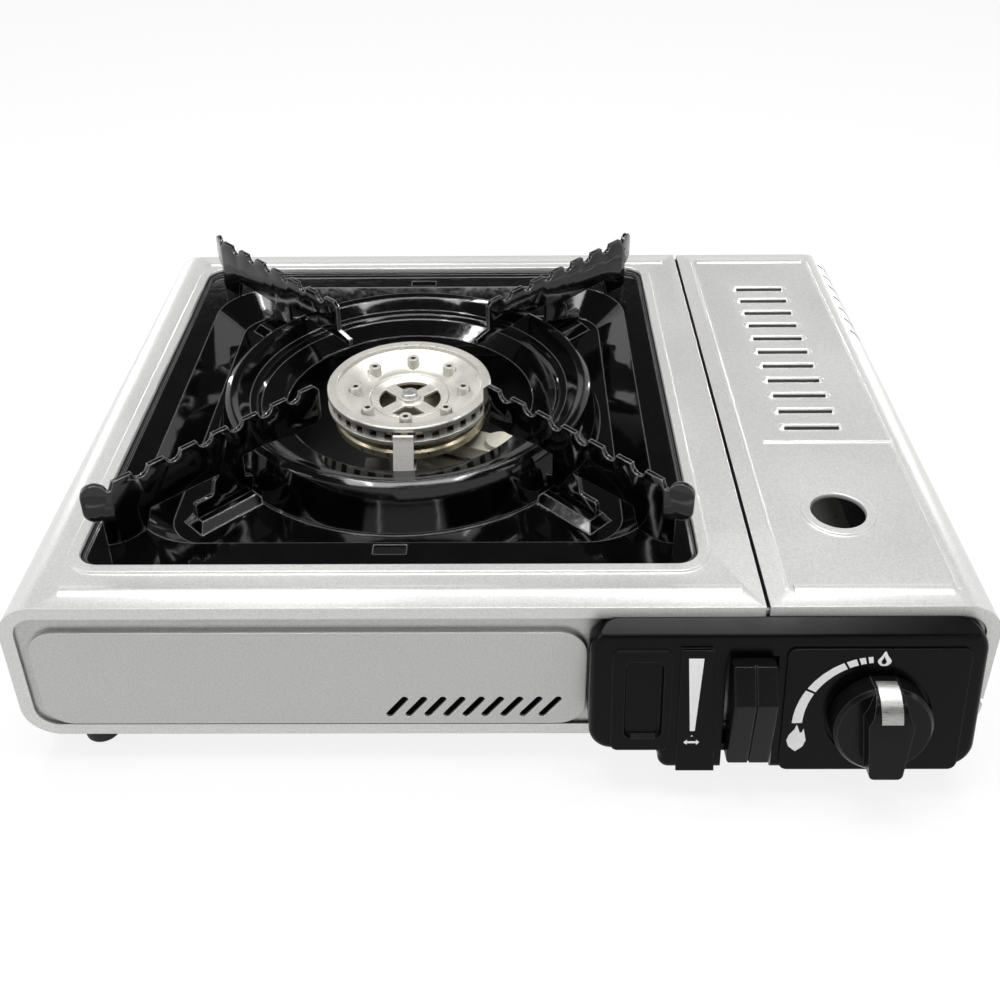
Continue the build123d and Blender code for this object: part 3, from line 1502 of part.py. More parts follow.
with BuildPart() as lever_pin:
    with BuildSketch(Plane.YZ.offset(arm_x + arm_thick)):
        with Locations((crank_pin_y, crank_pin_z)):
            Circle(crank_pin_radius)
    extrude(amount=fork_x + fork_thick + pin_past_fork - arm_x - arm_thick)
lever_pin.part.label = "lever_pin"
export_step(lever_pin.part, "parts/lever_pin.step")

with BuildPart() as lever_grip:
    with BuildSketch(Plane.YZ.offset(lever_left)):
        with BuildLine():
            Polyline(
                face_point(lever_top, -grip_back), face_point(lever_top, grip_head),
                face_point(grip_crest_down, grip_crest), face_point(lever_end, grip_foot),
                face_point(lever_end, -grip_back), face_point(lever_top, -grip_back),
            )
        make_face()
    extrude(amount=lever_right - lever_left)
    fillet(lever_grip.faces().filter_by(Axis.X).edges(), radius=grip_round)
    with BuildSketch(Plane.YZ.offset(arm_x)):
        with BuildLine():
            Polyline(
                (arm_front_y, lever_axis_z - arm_low), (arm_front_y, lever_axis_z + arm_high),
                (front_y, lever_axis_z + arm_high), (front_y, lever_axis_z - arm_low),
                (arm_front_y, lever_axis_z - arm_low),
            )
        make_face()
    extrude(amount=arm_thick, mode=Mode.SUBTRACT)
    # fine groove down the middle of the grip
    with BuildSketch(Plane.YZ.offset(lever_mid - groove_width / 2)):
        with BuildLine():
            Polyline(
                face_point(lever_top - grip_round, grip_head - groove_depth),
                face_point(grip_crest_down, grip_crest - groove_depth),
                face_point(lever_end + grip_round, grip_foot - groove_depth),
                face_point(lever_end + grip_round, groove_open), face_point(lever_top - grip_round, groove_open),
                face_point(lever_top - grip_round, grip_head - groove_depth),
            )
        make_face()
    extrude(amount=groove_width, mode=Mode.SUBTRACT)
lever_grip.part.label = "lever_grip"
export_step(lever_grip.part, "parts/lever_grip.step")

# ---------------------------------------------------------------- cartridge carrier
tongue_z = floor_z + clear_move
fork_front = crank_pin_y - fork_half
fork_slot_over = 4.0
fork_above = 5.0
fork_top = crank_pin_z + fork_above
web_gap = 0.8
stop_gap = 0.5
stop_above = 6.0
tongue_lap = 2.0
web_y = trough_front + carrier_travel + web_gap
stop_y = cartridge_front + cartridge_length + stop_gap
stop_half = 12.0
stop_top = cartridge_z + stop_above
carrier_right = knob_x + carrier_half

with BuildPart() as cartridge_carrier:
    # upright fork that the crank pin rides in
    with BuildSketch(Plane.YZ.offset(fork_x)):
        with Locations((crank_pin_y, (tongue_z + fork_top) / 2)):
            Rectangle(2 * fork_half, fork_top - tongue_z)
        with Locations((crank_pin_y, crank_pin_z + fork_half)):
            Rectangle(2 * (crank_pin_radius + clear_shaft), 2 * fork_half + fork_slot_over, mode=Mode.SUBTRACT)
    extrude(amount=fork_thick)
    # tongue across the floor, step down, and strip under the cartridge
    with BuildSketch(Plane.XY.offset(tongue_z)):
        with Locations(((fork_x + carrier_right) / 2, (fork_front + trough_front - tongue_lap) / 2)):
            Rectangle(carrier_right - fork_x, trough_front - tongue_lap - fork_front)
        with Locations((knob_x, (fork_front + web_y + carrier_thick) / 2)):
            Rectangle(2 * carrier_half, web_y + carrier_thick - fork_front)
    extrude(amount=carrier_thick)
    with BuildSketch(Plane.XY.offset(carrier_low)):
        with Locations((knob_x, web_y + carrier_thick / 2)):
            Rectangle(2 * carrier_half, carrier_thick)
    extrude(amount=tongue_z - carrier_low)
    with BuildSketch(Plane.XY.offset(carrier_low)):
        with Locations((knob_x, (web_y + stop_y + carrier_thick) / 2)):
            Rectangle(2 * carrier_half, stop_y + carrier_thick - web_y)
    extrude(amount=carrier_thick)
    with BuildSketch(Plane.XY.offset(carrier_low)):
        with Locations((knob_x, stop_y + carrier_thick / 2)):
            Rectangle(2 * stop_half, carrier_thick)
    extrude(amount=stop_top - carrier_low)
    fillet(
        cartridge_carrier.faces().sort_by(Axis.Y)[-1].edges().filter_by(GeomType.LINE).group_by(Axis.Z)[-1],
        radius=carrier_thick / 3,
    )
cartridge_carrier.part.label = "cartridge_carrier"
export_step(cartridge_carrier.part, "parts/cartridge_carrier.step")

# ---------------------------------------------------------------- drip tray
tray_clear = 0.5
rim_rise = 1.2
rim_half_x = cutout_width / 2 - tray_clear
rim_half_y = cutout_depth / 2 - tray_clear
slope_half_x = 99.5
slope_half_y = 100.0
slope_radius = 28.0
slope_run = 12.0
slope_drop = tray_ledge - tray_floor
slope_taper = degrees(atan2(slope_run, slope_drop))
slope_skew = sheet / cos(radians(slope_taper)) - sheet * slope_run / slope_drop
ring_floor_radius = 82.5
ring_dip_radius = 64.5
ring_dip_z = -1.6
ring_shelf_radius = 66.0
ring_shelf_z = 0.4
ring_shelf_end = 69.0
ring_shelf_top = 0.8
ring_shoulder_radius = 73.8
ring_shoulder = 5.3
ring_brow_radius = 77.6
ring_brow = 5.2
ring_wall_low = -7.0
ring_lap = 0.8
boss_length = 30.5
boss_width = 13.0
boss_height = 4.0
boss_slope = 32
boss_top = tray_floor + boss_height
tray_slot_width = support_thickness + 2 * clear_shaft
tray_slot_inner = 134.0
tray_slot_outer = 139.0
notch_length = 12.0
notch_width = 5.0
notch_y = 104.0
tray_z = top_height

with BuildPart() as drip_tray:
    # rim and ledge
    with BuildSketch(Plane.XY.offset(tray_z + tray_ledge - sheet)):
        with Locations((burner_x, burner_y)):
            RectangleRounded(2 * rim_half_x, 2 * rim_half_y, cutout_radius - tray_clear)
    extrude(amount=sheet + rim_rise)
    with BuildSketch(Plane.XY.offset(tray_z + tray_ledge)):
        with Locations((burner_x, burner_y)):
            RectangleRounded(2 * (rim_half_x - sheet), 2 * (rim_half_y - sheet), cutout_radius - tray_clear - sheet)
    extrude(amount=rim_rise, mode=Mode.SUBTRACT)
    # dished pan
    with BuildSketch(Plane.XY.offset(tray_z + tray_ledge - sheet)):
        with Locations((burner_x, burner_y)):
            RectangleRounded(2 * (slope_half_x + slope_skew), 2 * (slope_half_y + slope_skew),
                             slope_radius + slope_skew)
    extrude(amount=-slope_drop, taper=slope_taper)
    with BuildSketch(Plane.XY.offset(tray_z + tray_ledge)):
        with Locations((burner_x, burner_y)):
            RectangleRounded(2 * slope_half_x, 2 * slope_half_y, slope_radius)
    extrude(amount=-slope_drop, taper=slope_taper, mode=Mode.SUBTRACT)
    # centre ring, cut open and then raised round the burner
    with BuildSketch(Plane.XY.offset(tray_z + tray_floor - 2 * sheet)):
        with Locations((burner_x, burner_y)):
            Circle(ring_floor_radius)
    extrude(amount=4 * sheet, mode=Mode.SUBTRACT)
    with BuildSketch(front_plane(burner_y)):
        with BuildLine(Plane(origin=(burner_x, burner_y, tray_z), x_dir=(1, 0, 0), z_dir=(0, -1, 0))):
            Polyline(
                (ring_hole_radius, ring_hole_z), (ring_dip_radius, ring_dip_z), (ring_shelf_radius, ring_shelf_z),
                (ring_shelf_end, ring_shelf_top), (ring_shoulder_radius, ring_shoulder),
                (ring_crest_radius, ring_crest), (ring_brow_radius, ring_brow), (ring_foot_radius, ring_wall_low),
                (ring_floor_radius, tray_floor), (ring_floor_radius + ring_lap, tray_floor),
            )
            offset(amount=sheet, side=Side.RIGHT)
        make_face()
    revolve(axis=burner_axis)
    # raised bosses that carry the support feet
    with BuildSketch(Plane.XY.offset(tray_z + tray_floor - sheet / 2)):
        with Locations((burner_x, burner_y)):
            with PolarLocations(boss_distance, 4, start_angle=45):
                Rectangle(boss_length, boss_width)
    extrude(amount=boss_height + sheet / 2, taper=boss_slope)
    # slots for the support tabs and the notches front and rear
    with BuildSketch(Plane.XY.offset(tray_z + tray_ledge - 2 * sheet)):
        with Locations((burner_x, burner_y)):
            with PolarLocations((tray_slot_inner + tray_slot_outer) / 2, 4, start_angle=45):
                Rectangle(tray_slot_outer - tray_slot_inner + 2 * clear_shaft, tray_slot_width)
            with GridLocations(1, 2 * notch_y, 1, 2):
                Rectangle(notch_length, notch_width)
    extrude(amount=4 * sheet, mode=Mode.SUBTRACT)
drip_tray.part.label = "drip_tray"
export_step(drip_tray.part, "parts/drip_tray.step")

# ---------------------------------------------------------------- pot supports
tooth_first = 53.0
dip_half = 3.3
dip_depth = tooth_top - tooth_dip
dip_radius = (dip_half ** 2 + dip_depth ** 2) / (2 * dip_depth)
blade_start = 47.8
blade_bevel = 2.2
blade_end_bevel = 1.6
arm_start = blade_start + 2.7
arm_under = 7.4
arm_waist = blade_start + 14.2
arm_waist_under = 7.2
arm_rise = 75.0
arm_bottom = 9.3
sole_half = 12.2
sole_inner = boss_distance - sole_half
sole_outer = boss_distance + sole_half
heel_side = sole_inner - 1.6
heel_low = boss_top + 5.8
heel_back = sole_inner - 1.2
heel_high = boss_top + 7.4
leg_inner = sole_inner + 1.8
leg_inner_low = boss_top + 8.4
toe_tip = sole_outer + 0.8
toe_low = boss_top + 1.0
toe_side = sole_outer + 0.6
toe_high = boss_top + 6.4
toe_corner = sole_outer - 0.2
instep_z = boss_top + 7.1
instep = sole_outer - 7.0
instep_bevel = 0.8
leg_outer = sole_outer - 8.8
leg_bevel = 2.3
leg_bevel_low = 3.8
leg_bevel_high = 6.0
rest_inner = tray_slot_inner - 4.1
rest_start = rest_inner - 3.1
rest_under = 6.6
tab_drop = sheet + 1.4
lobe_width = 9.7
lobe_height = 16.0
lobe_out = 5.6
lobe_z = 17.0
neck_reach = 4.5
tab_tip = blade_start - 7.8
tab_tip_low = 6.2
tab_tip_high = 8.8
tab_root = blade_start + 5.2
tab_back = blade_start + 4.2
tab_back_high = 12.0


def pot_support(angle, turn, flame_tab):
    """Toothed support blade on a diagonal, with its turned ear; some carry an inner tab."""
    out = (cos(radians(angle)), sin(radians(angle)), 0)
    side = (sin(radians(angle)), -cos(radians(angle)), 0)
    blade_plane = Plane(origin=(burner_x, burner_y, tray_z), x_dir=out, z_dir=side)
    turned = radians(angle + turn)
    ear_origin = (burner_x + ear_bend_radius * out[0], burner_y + ear_bend_radius * out[1], tray_z)
    ear_plane = Plane(origin=ear_origin, x_dir=(cos(turned), sin(turned), 0), z_dir=(sin(turned), -cos(turned), 0))
    with BuildPart() as blade:
        with BuildSketch(blade_plane):
            with BuildLine():
                Polyline(
                    (blade_start + blade_bevel, tooth_top), (blade_start, tooth_top - blade_bevel),
                    (blade_start, arm_under + blade_bevel), (arm_start, arm_under),
                    (arm_waist, arm_waist_under), (arm_rise, arm_bottom),
                    (leg_inner, arm_bottom), (leg_inner, leg_inner_low), (heel_back, heel_high),
                    (heel_side, heel_low), (sole_inner, boss_top), (sole_outer, boss_top),
                    (toe_tip, toe_low), (toe_side, toe_high), (toe_corner, instep_z), (instep, instep_z),
                    (instep - instep_bevel, instep_z + instep_bevel), (leg_outer, leg_bevel_low),
                    (leg_outer - leg_bevel, leg_bevel_high), (rest_start, rest_under), (rest_inner, tray_ledge),
                    (tray_slot_inner, tray_ledge), (tray_slot_inner, tray_ledge - tab_drop),
                    (tray_slot_outer, tray_ledge - tab_drop), (tray_slot_outer, tray_ledge),
                    (ear_bend_radius, tray_ledge), (ear_bend_radius, tooth_dip),
                    (ear_bend_radius - blade_end_bevel, tooth_top), (blade_start + blade_bevel, tooth_top),
                )
            make_face()
            for i in range(tooth_count - 1):
                with Locations((tooth_first + (i + 0.5) * tooth_pitch, tooth_dip + dip_radius)):
                    Circle(dip_radius, mode=Mode.SUBTRACT)
            if flame_tab:
                with BuildLine():
                    Polyline((tab_root, arm_under), (tab_tip, tab_tip_low), (tab_tip, tab_tip_high),
                             (tab_back, tab_back_high), (tab_root, arm_under))
                make_face()
        extrude(amount=support_thickness / 2, both=True)
        with BuildSketch(Plane(ear_origin).offset(tray_ledge)):
            Circle(support_thickness / 2)
        extrude(amount=tooth_dip - tray_ledge)
        with BuildSketch(ear_plane):
            with Locations((lobe_out, lobe_z)):
                SlotOverall(lobe_height, lobe_width, rotation=90)
            with Locations((neck_reach / 2, (tooth_dip + tray_ledge) / 2)):
                Rectangle(neck_reach, tooth_dip - tray_ledge)
        extrude(amount=support_thickness / 2, both=True)
    return blade.part


def make_support(place, angle, turn, flame_tab):
    """Write the pot support for one corner."""
    support_part = pot_support(angle, turn, flame_tab)
    support_part.label = "pot_support_" + place
    export_step(support_part, "parts/pot_support_" + place + ".step")


make_support("rear_right", 45, rear_ear_turn, True)
make_support("rear_left", 135, -rear_ear_turn, True)
make_support("front_left", 225, -front_ear_turn, False)
make_support("front_right", 315, front_ear_turn, False)
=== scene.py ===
import json
import math
import bmesh
import bpy
from mathutils import Euler, Matrix, Vector


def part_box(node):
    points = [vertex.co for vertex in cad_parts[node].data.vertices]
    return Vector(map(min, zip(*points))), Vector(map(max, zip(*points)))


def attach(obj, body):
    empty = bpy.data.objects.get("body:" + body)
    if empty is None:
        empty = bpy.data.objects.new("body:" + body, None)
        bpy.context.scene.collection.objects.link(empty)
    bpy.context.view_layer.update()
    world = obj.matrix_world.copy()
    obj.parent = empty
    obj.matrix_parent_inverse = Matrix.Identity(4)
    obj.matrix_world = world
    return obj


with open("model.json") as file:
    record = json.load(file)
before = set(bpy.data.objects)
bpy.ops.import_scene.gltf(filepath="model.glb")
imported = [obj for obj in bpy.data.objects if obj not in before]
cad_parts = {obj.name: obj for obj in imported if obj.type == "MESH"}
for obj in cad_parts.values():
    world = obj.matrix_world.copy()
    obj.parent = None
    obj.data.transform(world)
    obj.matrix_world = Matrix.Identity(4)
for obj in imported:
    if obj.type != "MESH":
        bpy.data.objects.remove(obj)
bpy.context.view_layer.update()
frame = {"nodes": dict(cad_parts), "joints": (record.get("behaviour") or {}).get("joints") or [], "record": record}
nodes = frame["nodes"]
scene = bpy.context.scene
scene.view_settings.view_transform = "Standard"

MM = 0.001
X_AXIS = Vector((1, 0, 0))
Y_AXIS = Vector((0, 1, 0))
Z_AXIS = Vector((0, 0, 1))


# ---------------------------------------------------------------- camera
# fitted to the photograph: place in metres, angles in degrees, lens and sensor in millimetres
CAMERA_PLACE = (0.005014, -0.423204, 0.357942)
CAMERA_TILT = 59.1736
CAMERA_ROLL = 0.4920
CAMERA_TURN = 0.3367
FOCAL_LENGTH = 43.167
SENSOR_WIDTH = 36.0
PICTURE_SHIFT = -0.15


def make_camera():
    """The photograph's view: in front of the stove and above it."""
    data = bpy.data.cameras.new("camera")
    data.lens = FOCAL_LENGTH
    data.sensor_width = SENSOR_WIDTH
    data.shift_y = PICTURE_SHIFT
    data.clip_start = 0.02
    data.clip_end = 50.0
    camera = bpy.data.objects.new("camera", data)
    scene.collection.objects.link(camera)
    scene.camera = camera
    turned = Euler([math.radians(angle) for angle in (CAMERA_TILT, CAMERA_ROLL, CAMERA_TURN)])
    camera.matrix_world = Matrix.Translation(CAMERA_PLACE) @ turned.to_matrix().to_4x4()


make_camera()


# ---------------------------------------------------------------- world and lamps
WORLD_COLOR = (0.97, 0.985, 1.0)
WORLD_STRENGTH = 0.07
LAMP_TARGET = Vector((0.0, 0.0, 0.06))


def make_world():
    """Plain dim studio, the same for every ray."""
    world = bpy.data.worlds.new("studio")
    scene.world = world
    world.use_nodes = True
    background = world.node_tree.nodes["Background"]
    background.inputs["Color"].default_value = (*WORLD_COLOR, 1)
    background.inputs["Strength"].default_value = WORLD_STRENGTH


def area_light(name, place, length, width, power, along=X_AXIS):
    """Rectangular lamp that looks at the stove, its length laid along an axis."""
    data = bpy.data.lights.new(name, "AREA")
    data.shape = "RECTANGLE"
    data.size = length
    data.size_y = width
    data.energy = power
    lamp = bpy.data.objects.new(name, data)
    scene.collection.objects.link(lamp)
    back = (Vector(place) - LAMP_TARGET).normalized()
    side = (along - back * back.dot(along)).normalized()
    up = back.cross(side)
    turn = Matrix((side, up, back)).transposed().to_4x4()
    lamp.matrix_world = Matrix.Translation(place) @ turn


make_world()
# one soft box for the paint, thin strips for the bright lines in the enamel
area_light("top_softbox", (-0.05, -0.18, 1.45), length=1.1, width=0.45, power=14.0)
area_light("over_strip", (0.0, 0.25, 1.45), length=1.4, width=0.025, power=5.0)
area_light("over_left", (-0.38, 0.25, 1.4), length=1.2, width=0.03, power=5.5, along=Y_AXIS)
area_light("over_right", (0.38, 0.25, 1.4), length=1.2, width=0.03, power=5.5, along=Y_AXIS)
area_light("front_strip", (0.0, -0.75, 1.25), length=1.3, width=0.04, power=3.0)
area_light("left_strip", (-1.1, -0.35, 0.75), length=0.9, width=0.04, power=3.5, along=Z_AXIS)
area_light("right_strip", (1.1, -0.35, 0.85), length=0.9, width=0.04, power=3.0, along=Z_AXIS)
area_light("rear_left_low", (-1.3, 1.7, 0.35), length=0.5, width=0.05, power=4.0, along=Z_AXIS)
area_light("rear_right_low", (1.3, 1.7, 0.35), length=0.5, width=0.05, power=4.0, along=Z_AXIS)


# ---------------------------------------------------------------- shader nodes
def link(tree, a, b):
    tree.links.new(a, b)


def material(name, color, metallic, roughness):
    mat = bpy.data.materials.new(name)
    mat.use_nodes = True
    tree = mat.node_tree
    shader = tree.nodes["Principled BSDF"]
    shader.inputs["Base Color"].default_value = (*color, 1)
    shader.inputs["Metallic"].default_value = metallic
    shader.inputs["Roughness"].default_value = roughness
    mat.diffuse_color = (*color, 1)
    return mat, tree, shader


def grey(tone):
    return (tone, tone, tone)


def scaled(color, level):
    return tuple(channel * level for channel in color)


def combine(tree, operation, a, b):
    """Math node of a socket with another socket or a number."""
    node = tree.nodes.new("ShaderNodeMath")
    node.operation = operation
    link(tree, a, node.inputs[0])
    if isinstance(b, float):
        node.inputs[1].default_value = b
    else:
        link(tree, b, node.inputs[1])
    return node.outputs["Value"]


def dot_product(tree, a, b):
    node = tree.nodes.new("ShaderNodeVectorMath")
    node.operation = "DOT_PRODUCT"
    link(tree, a, node.inputs[0])
    link(tree, b, node.inputs[1])
    return node.outputs["Value"]


def remap(tree, value, from_low, from_high, to_low=0.0, to_high=1.0):
    """Straight-line map of a value from one range to another, held at both ends."""
    node = tree.nodes.new("ShaderNodeMapRange")
    node.inputs["From Min"].default_value = from_low
    node.inputs["From Max"].default_value = from_high
    node.inputs["To Min"].default_value = to_low
    node.inputs["To Max"].default_value = to_high
    link(tree, value, node.inputs["Value"])
    return node.outputs["Result"]


def noise(tree, scale, detail=3.0, stretch=None):
    coord = tree.nodes.new("ShaderNodeTexCoord")
    tex = tree.nodes.new("ShaderNodeTexNoise")
    tex.inputs["Scale"].default_value = scale
    tex.inputs["Detail"].default_value = detail
    place = coord.outputs["Object"]
    if stretch:
        mapping = tree.nodes.new("ShaderNodeMapping")
        mapping.inputs["Scale"].default_value = stretch
        link(tree, place, mapping.inputs["Vector"])
        place = mapping.outputs["Vector"]
    link(tree, place, tex.inputs["Vector"])
    return tex.outputs["Fac"]


# most of a noise's values lie between these two
NOISE_LOW = 0.3
NOISE_HIGH = 0.7


def ramp(tree, fac, low, high):
    """Colour between two tones, by a noise."""
    node = tree.nodes.new("ShaderNodeValToRGB")
    for end, place, color in zip(node.color_ramp.elements, (NOISE_LOW, NOISE_HIGH), (low, high)):
        end.position = place
        end.color = (*color, 1)
    link(tree, fac, node.inputs["Fac"])
    return node.outputs["Color"]


def span(tree, fac, low, high):
    """Value between two limits, by a noise."""
    return remap(tree, fac, NOISE_LOW, NOISE_HIGH, low, high)


def mix_color(tree, fac, a, b):
    """Colour a going over to colour b, each a socket or a plain colour."""
    node = tree.nodes.new("ShaderNodeMix")
    node.data_type = "RGBA"
    link(tree, fac, node.inputs["Factor"])
    for name, color in (("A", a), ("B", b)):
        if isinstance(color, tuple):
            node.inputs[name].default_value = (*color, 1)
        else:
            link(tree, color, node.inputs[name])
    return node.outputs["Result"]


EDGE_SAMPLES = 4
CORNER_SAMPLES = 6
FLAT_LIKENESS = 0.99
EDGE_LIKENESS = 0.85
SHADE_TONE = grey(0.02)


def rounded_normal(tree, radius):
    bevel = tree.nodes.new("ShaderNodeBevel")
    bevel.samples = EDGE_SAMPLES
    bevel.inputs["Radius"].default_value = radius
    return bevel.outputs["Normal"]


def bump(tree, shader, fac, distance, strength, round_edge=None):
    """Grain bump, over rounded edges where a radius is given."""
    node = tree.nodes.new("ShaderNodeBump")
    node.inputs["Distance"].default_value = distance
    node.inputs["Strength"].default_value = strength
    link(tree, fac, node.inputs["Height"])
    if round_edge:
        link(tree, rounded_normal(tree, round_edge), node.inputs["Normal"])
    link(tree, node.outputs["Normal"], shader.inputs["Normal"])


def edge_highlight_mask(tree, radius):
    """0 on flat faces, towards 1 near edges: how far the rounded normal leaves the true one; the mask for painted
    edge highlights.
    """
    geometry = tree.nodes.new("ShaderNodeNewGeometry")
    likeness = dot_product(tree, rounded_normal(tree, radius), geometry.outputs["Normal"])
    return remap(tree, likeness, FLAT_LIKENESS, EDGE_LIKENESS)


def open_share(tree, reach, low, high):
    """0 in closed-in corners and slots, 1 on open faces: the mask for painted shade."""
    node = tree.nodes.new("ShaderNodeAmbientOcclusion")
    node.samples = CORNER_SAMPLES
    node.inputs["Distance"].default_value = reach
    return remap(tree, node.outputs["AO"], low, high)


def paint_cavity_shade(tree, color, shader, reach, low, high):
    """Base colour with painted shade: it falls to a deep tone inside slots and cavities."""
    shaded = mix_color(tree, open_share(tree, reach, low, high), SHADE_TONE, color)
    link(tree, shaded, shader.inputs["Base Color"])


# the shell's painted inner shade starts a little way in from both end plates and from its top
END_MARGIN = 0.8 * MM
TOP_MARGIN = 1.3 * MM
FACING_LEAST = 0.004
front_low, front_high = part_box("front_plate")
SHELL_MIDDLE = (front_low.z + front_high.z) / 2
INNER_FRONT = front_high.y + END_MARGIN
INNER_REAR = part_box("rear_plate")[0].y - END_MARGIN
INNER_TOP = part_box("body_shell")[1].z - TOP_MARGIN


def inner_shade_share(tree):
    """1 on the shell's inner faces, which look towards its long axis, else 0: where the painted inner shade goes.
    """
    geometry = tree.nodes.new("ShaderNodeNewGeometry")
    outward = tree.nodes.new("ShaderNodeVectorMath")
    outward.operation = "MULTIPLY_ADD"
    outward.inputs[1].default_value = X_AXIS + Z_AXIS
    outward.inputs[2].default_value = Z_AXIS * -SHELL_MIDDLE
    link(tree, geometry.outputs["Position"], outward.inputs[0])
    facing = dot_product(tree, outward.outputs["Vector"], geometry.outputs["Normal"])
    place = tree.nodes.new("ShaderNodeSeparateXYZ")
    link(tree, geometry.outputs["Position"], place.inputs["Vector"])
    share = combine(tree, "LESS_THAN", facing, -FACING_LEAST)
    for axis, test, limit in (("Y", "GREATER_THAN", INNER_FRONT), ("Y", "LESS_THAN", INNER_REAR),
                              ("Z", "LESS_THAN", INNER_TOP)):
        share = combine(tree, "MULTIPLY", share, combine(tree, test, place.outputs[axis], limit))
    return share


# ---------------------------------------------------------------- materials
def silver_paint(name, level=1.0, shade_inside=False):
    """Hammered silver paint at a brightness level, with painted highlights on its edges and painted shade in
    slots; with shade_inside its inner faces get painted shade too.
    """
    mat, tree, shader = material(name, scaled((0.60, 0.60, 0.59), level), metallic=0.55, roughness=0.34)
    fine = noise(tree, 1500.0, detail=2.0)
    broad = noise(tree, 14.0)
    paint = ramp(tree, fine, scaled((0.55, 0.55, 0.54), level), scaled((0.67, 0.67, 0.66), level))
    # painted highlight: the paint turns pale on its edges
    color = mix_color(tree, edge_highlight_mask(tree, 0.5 * MM), paint, (0.80, 0.80, 0.79))
    # painted shade: the shell's inner faces go dark grey, for the little light that reaches them
    if shade_inside:
        color = mix_color(tree, inner_shade_share(tree), color, grey(0.05))
    # painted shade: the paint falls dark in slots and cavities
    paint_cavity_shade(tree, color, shader, reach=20 * MM, low=0.15, high=0.55)
    link(tree, span(tree, broad, 0.30, 0.38), shader.inputs["Roughness"])
    bump(tree, shader, fine, distance=0.05 * MM, strength=0.40, round_edge=0.6 * MM)
    return mat


def black_enamel():
    """Wavy gloss enamel, with painted highlights on its edges."""
    mat, tree, shader = material("black_enamel", (0.0015, 0.0015, 0.0016), metallic=0.0, roughness=0.06)
    shader.inputs["Specular IOR Level"].default_value = 0.5
    wave = noise(tree, 90.0, detail=2.0)
    body = ramp(tree, wave, (0.0008, 0.0008, 0.0009), (0.0018, 0.0018, 0.0020))
    # painted highlight: grey on the edges in place of glints on the rounded enamel
    color = mix_color(tree, edge_highlight_mask(tree, 0.8 * MM), body, grey(0.20))
    link(tree, color, shader.inputs["Base Color"])
    link(tree, span(tree, noise(tree, 500.0), 0.04, 0.10), shader.inputs["Roughness"])
    bump(tree, shader, wave, distance=0.3 * MM, strength=0.2, round_edge=1.1 * MM)
    return mat


def cast_aluminium(name, low, high, metallic):
    """Grainy casting between two tones, with painted highlights on its edges and painted shade in its hollows."""
    mat, tree, shader = material(name, high, metallic, roughness=0.36)
    grain = noise(tree, 900.0)
    # painted highlight: brighter colour on the edges
    color = mix_color(tree, edge_highlight_mask(tree, 0.4 * MM), ramp(tree, grain, low, high),
                      tuple(min(0.9, channel) for channel in scaled(high, 1.16)))
    # painted shade: darker in hollows and slots
    paint_cavity_shade(tree, color, shader, reach=12 * MM, low=0.12, high=0.5)
    link(tree, span(tree, noise(tree, 120.0), 0.27, 0.42), shader.inputs["Roughness"])
    bump(tree, shader, grain, distance=0.04 * MM, strength=0.4, round_edge=0.4 * MM)
    return mat


def plated_steel(name, level=1.0):
    """Plated steel with drawn lines along X, at a brightness level."""
    mat, tree, shader = material(name, scaled((0.60, 0.60, 0.58), level), metallic=0.9, roughness=0.32)
    lines = noise(tree, 300.0, stretch=(1.0, 14.0, 14.0))
    steel = ramp(tree, lines, scaled((0.50, 0.50, 0.49), level), scaled((0.66, 0.66, 0.64), level))
    link(tree, steel, shader.inputs["Base Color"])
    link(tree, span(tree, lines, 0.26, 0.42), shader.inputs["Roughness"])
    bump(tree, shader, lines, distance=0.02 * MM, strength=0.3, round_edge=0.3 * MM)
    return mat


def pale_brass():
    mat, tree, shader = material("pale_brass", (0.70, 0.62, 0.44), metallic=0.7, roughness=0.3)
    grain = noise(tree, 260.0)
    color = ramp(tree, grain, (0.60, 0.53, 0.37), (0.72, 0.65, 0.48))
    # painted shade: darker in the cup's hollows
    paint_cavity_shade(tree, color, shader, reach=12 * MM, low=0.10, high=0.45)
    link(tree, span(tree, grain, 0.24, 0.40), shader.inputs["Roughness"])
    bump(tree, shader, grain, distance=0.03 * MM, strength=0.3, round_edge=0.3 * MM)
    return mat


def machined_brass():
    """Brass with turned rings."""
    mat, tree, shader = material("machined_brass", (0.70, 0.50, 0.22), metallic=1.0, roughness=0.25)
    rings = noise(tree, 700.0, detail=2.0, stretch=(6.0, 1.0, 6.0))
    link(tree, ramp(tree, rings, (0.60, 0.42, 0.17), (0.76, 0.56, 0.27)), shader.inputs["Base Color"])
    link(tree, span(tree, rings, 0.2, 0.34), shader.inputs["Roughness"])
    bump(tree, shader, rings, distance=0.02 * MM, strength=0.3, round_edge=0.2 * MM)
    return mat


def plastic(name, color, roughness, highlight_color, grain_size=2200.0, depth=0.03 * MM, gloss=0.25):
    """Moulded plastic or rubber with a fine grain and paler edges painted on as highlights."""
    mat, tree, shader = material(name, color, metallic=0.0, roughness=roughness)
    shader.inputs["Specular IOR Level"].default_value = gloss
    grain = noise(tree, grain_size, detail=2.0)
    tint = ramp(tree, grain, scaled(color, 0.8), scaled(color, 1.25))
    # painted highlight: the paler colour on the edges
    link(tree, mix_color(tree, edge_highlight_mask(tree, 0.4 * MM), tint, highlight_color), shader.inputs["Base Color"])
    shine = span(tree, noise(tree, 60.0), roughness - 0.04, roughness + 0.05)
    link(tree, shine, shader.inputs["Roughness"])
    bump(tree, shader, grain, depth, strength=0.25, round_edge=0.5 * MM)
    return mat


def print_white():
    mat, tree, shader = material("print_white", grey(0.86), metallic=0.0, roughness=0.45)
    grain = noise(tree, 1800.0)
    link(tree, ramp(tree, grain, grey(0.80), grey(0.90)), shader.inputs["Base Color"])
    bump(tree, shader, grain, distance=0.01 * MM, strength=0.2)
    return mat


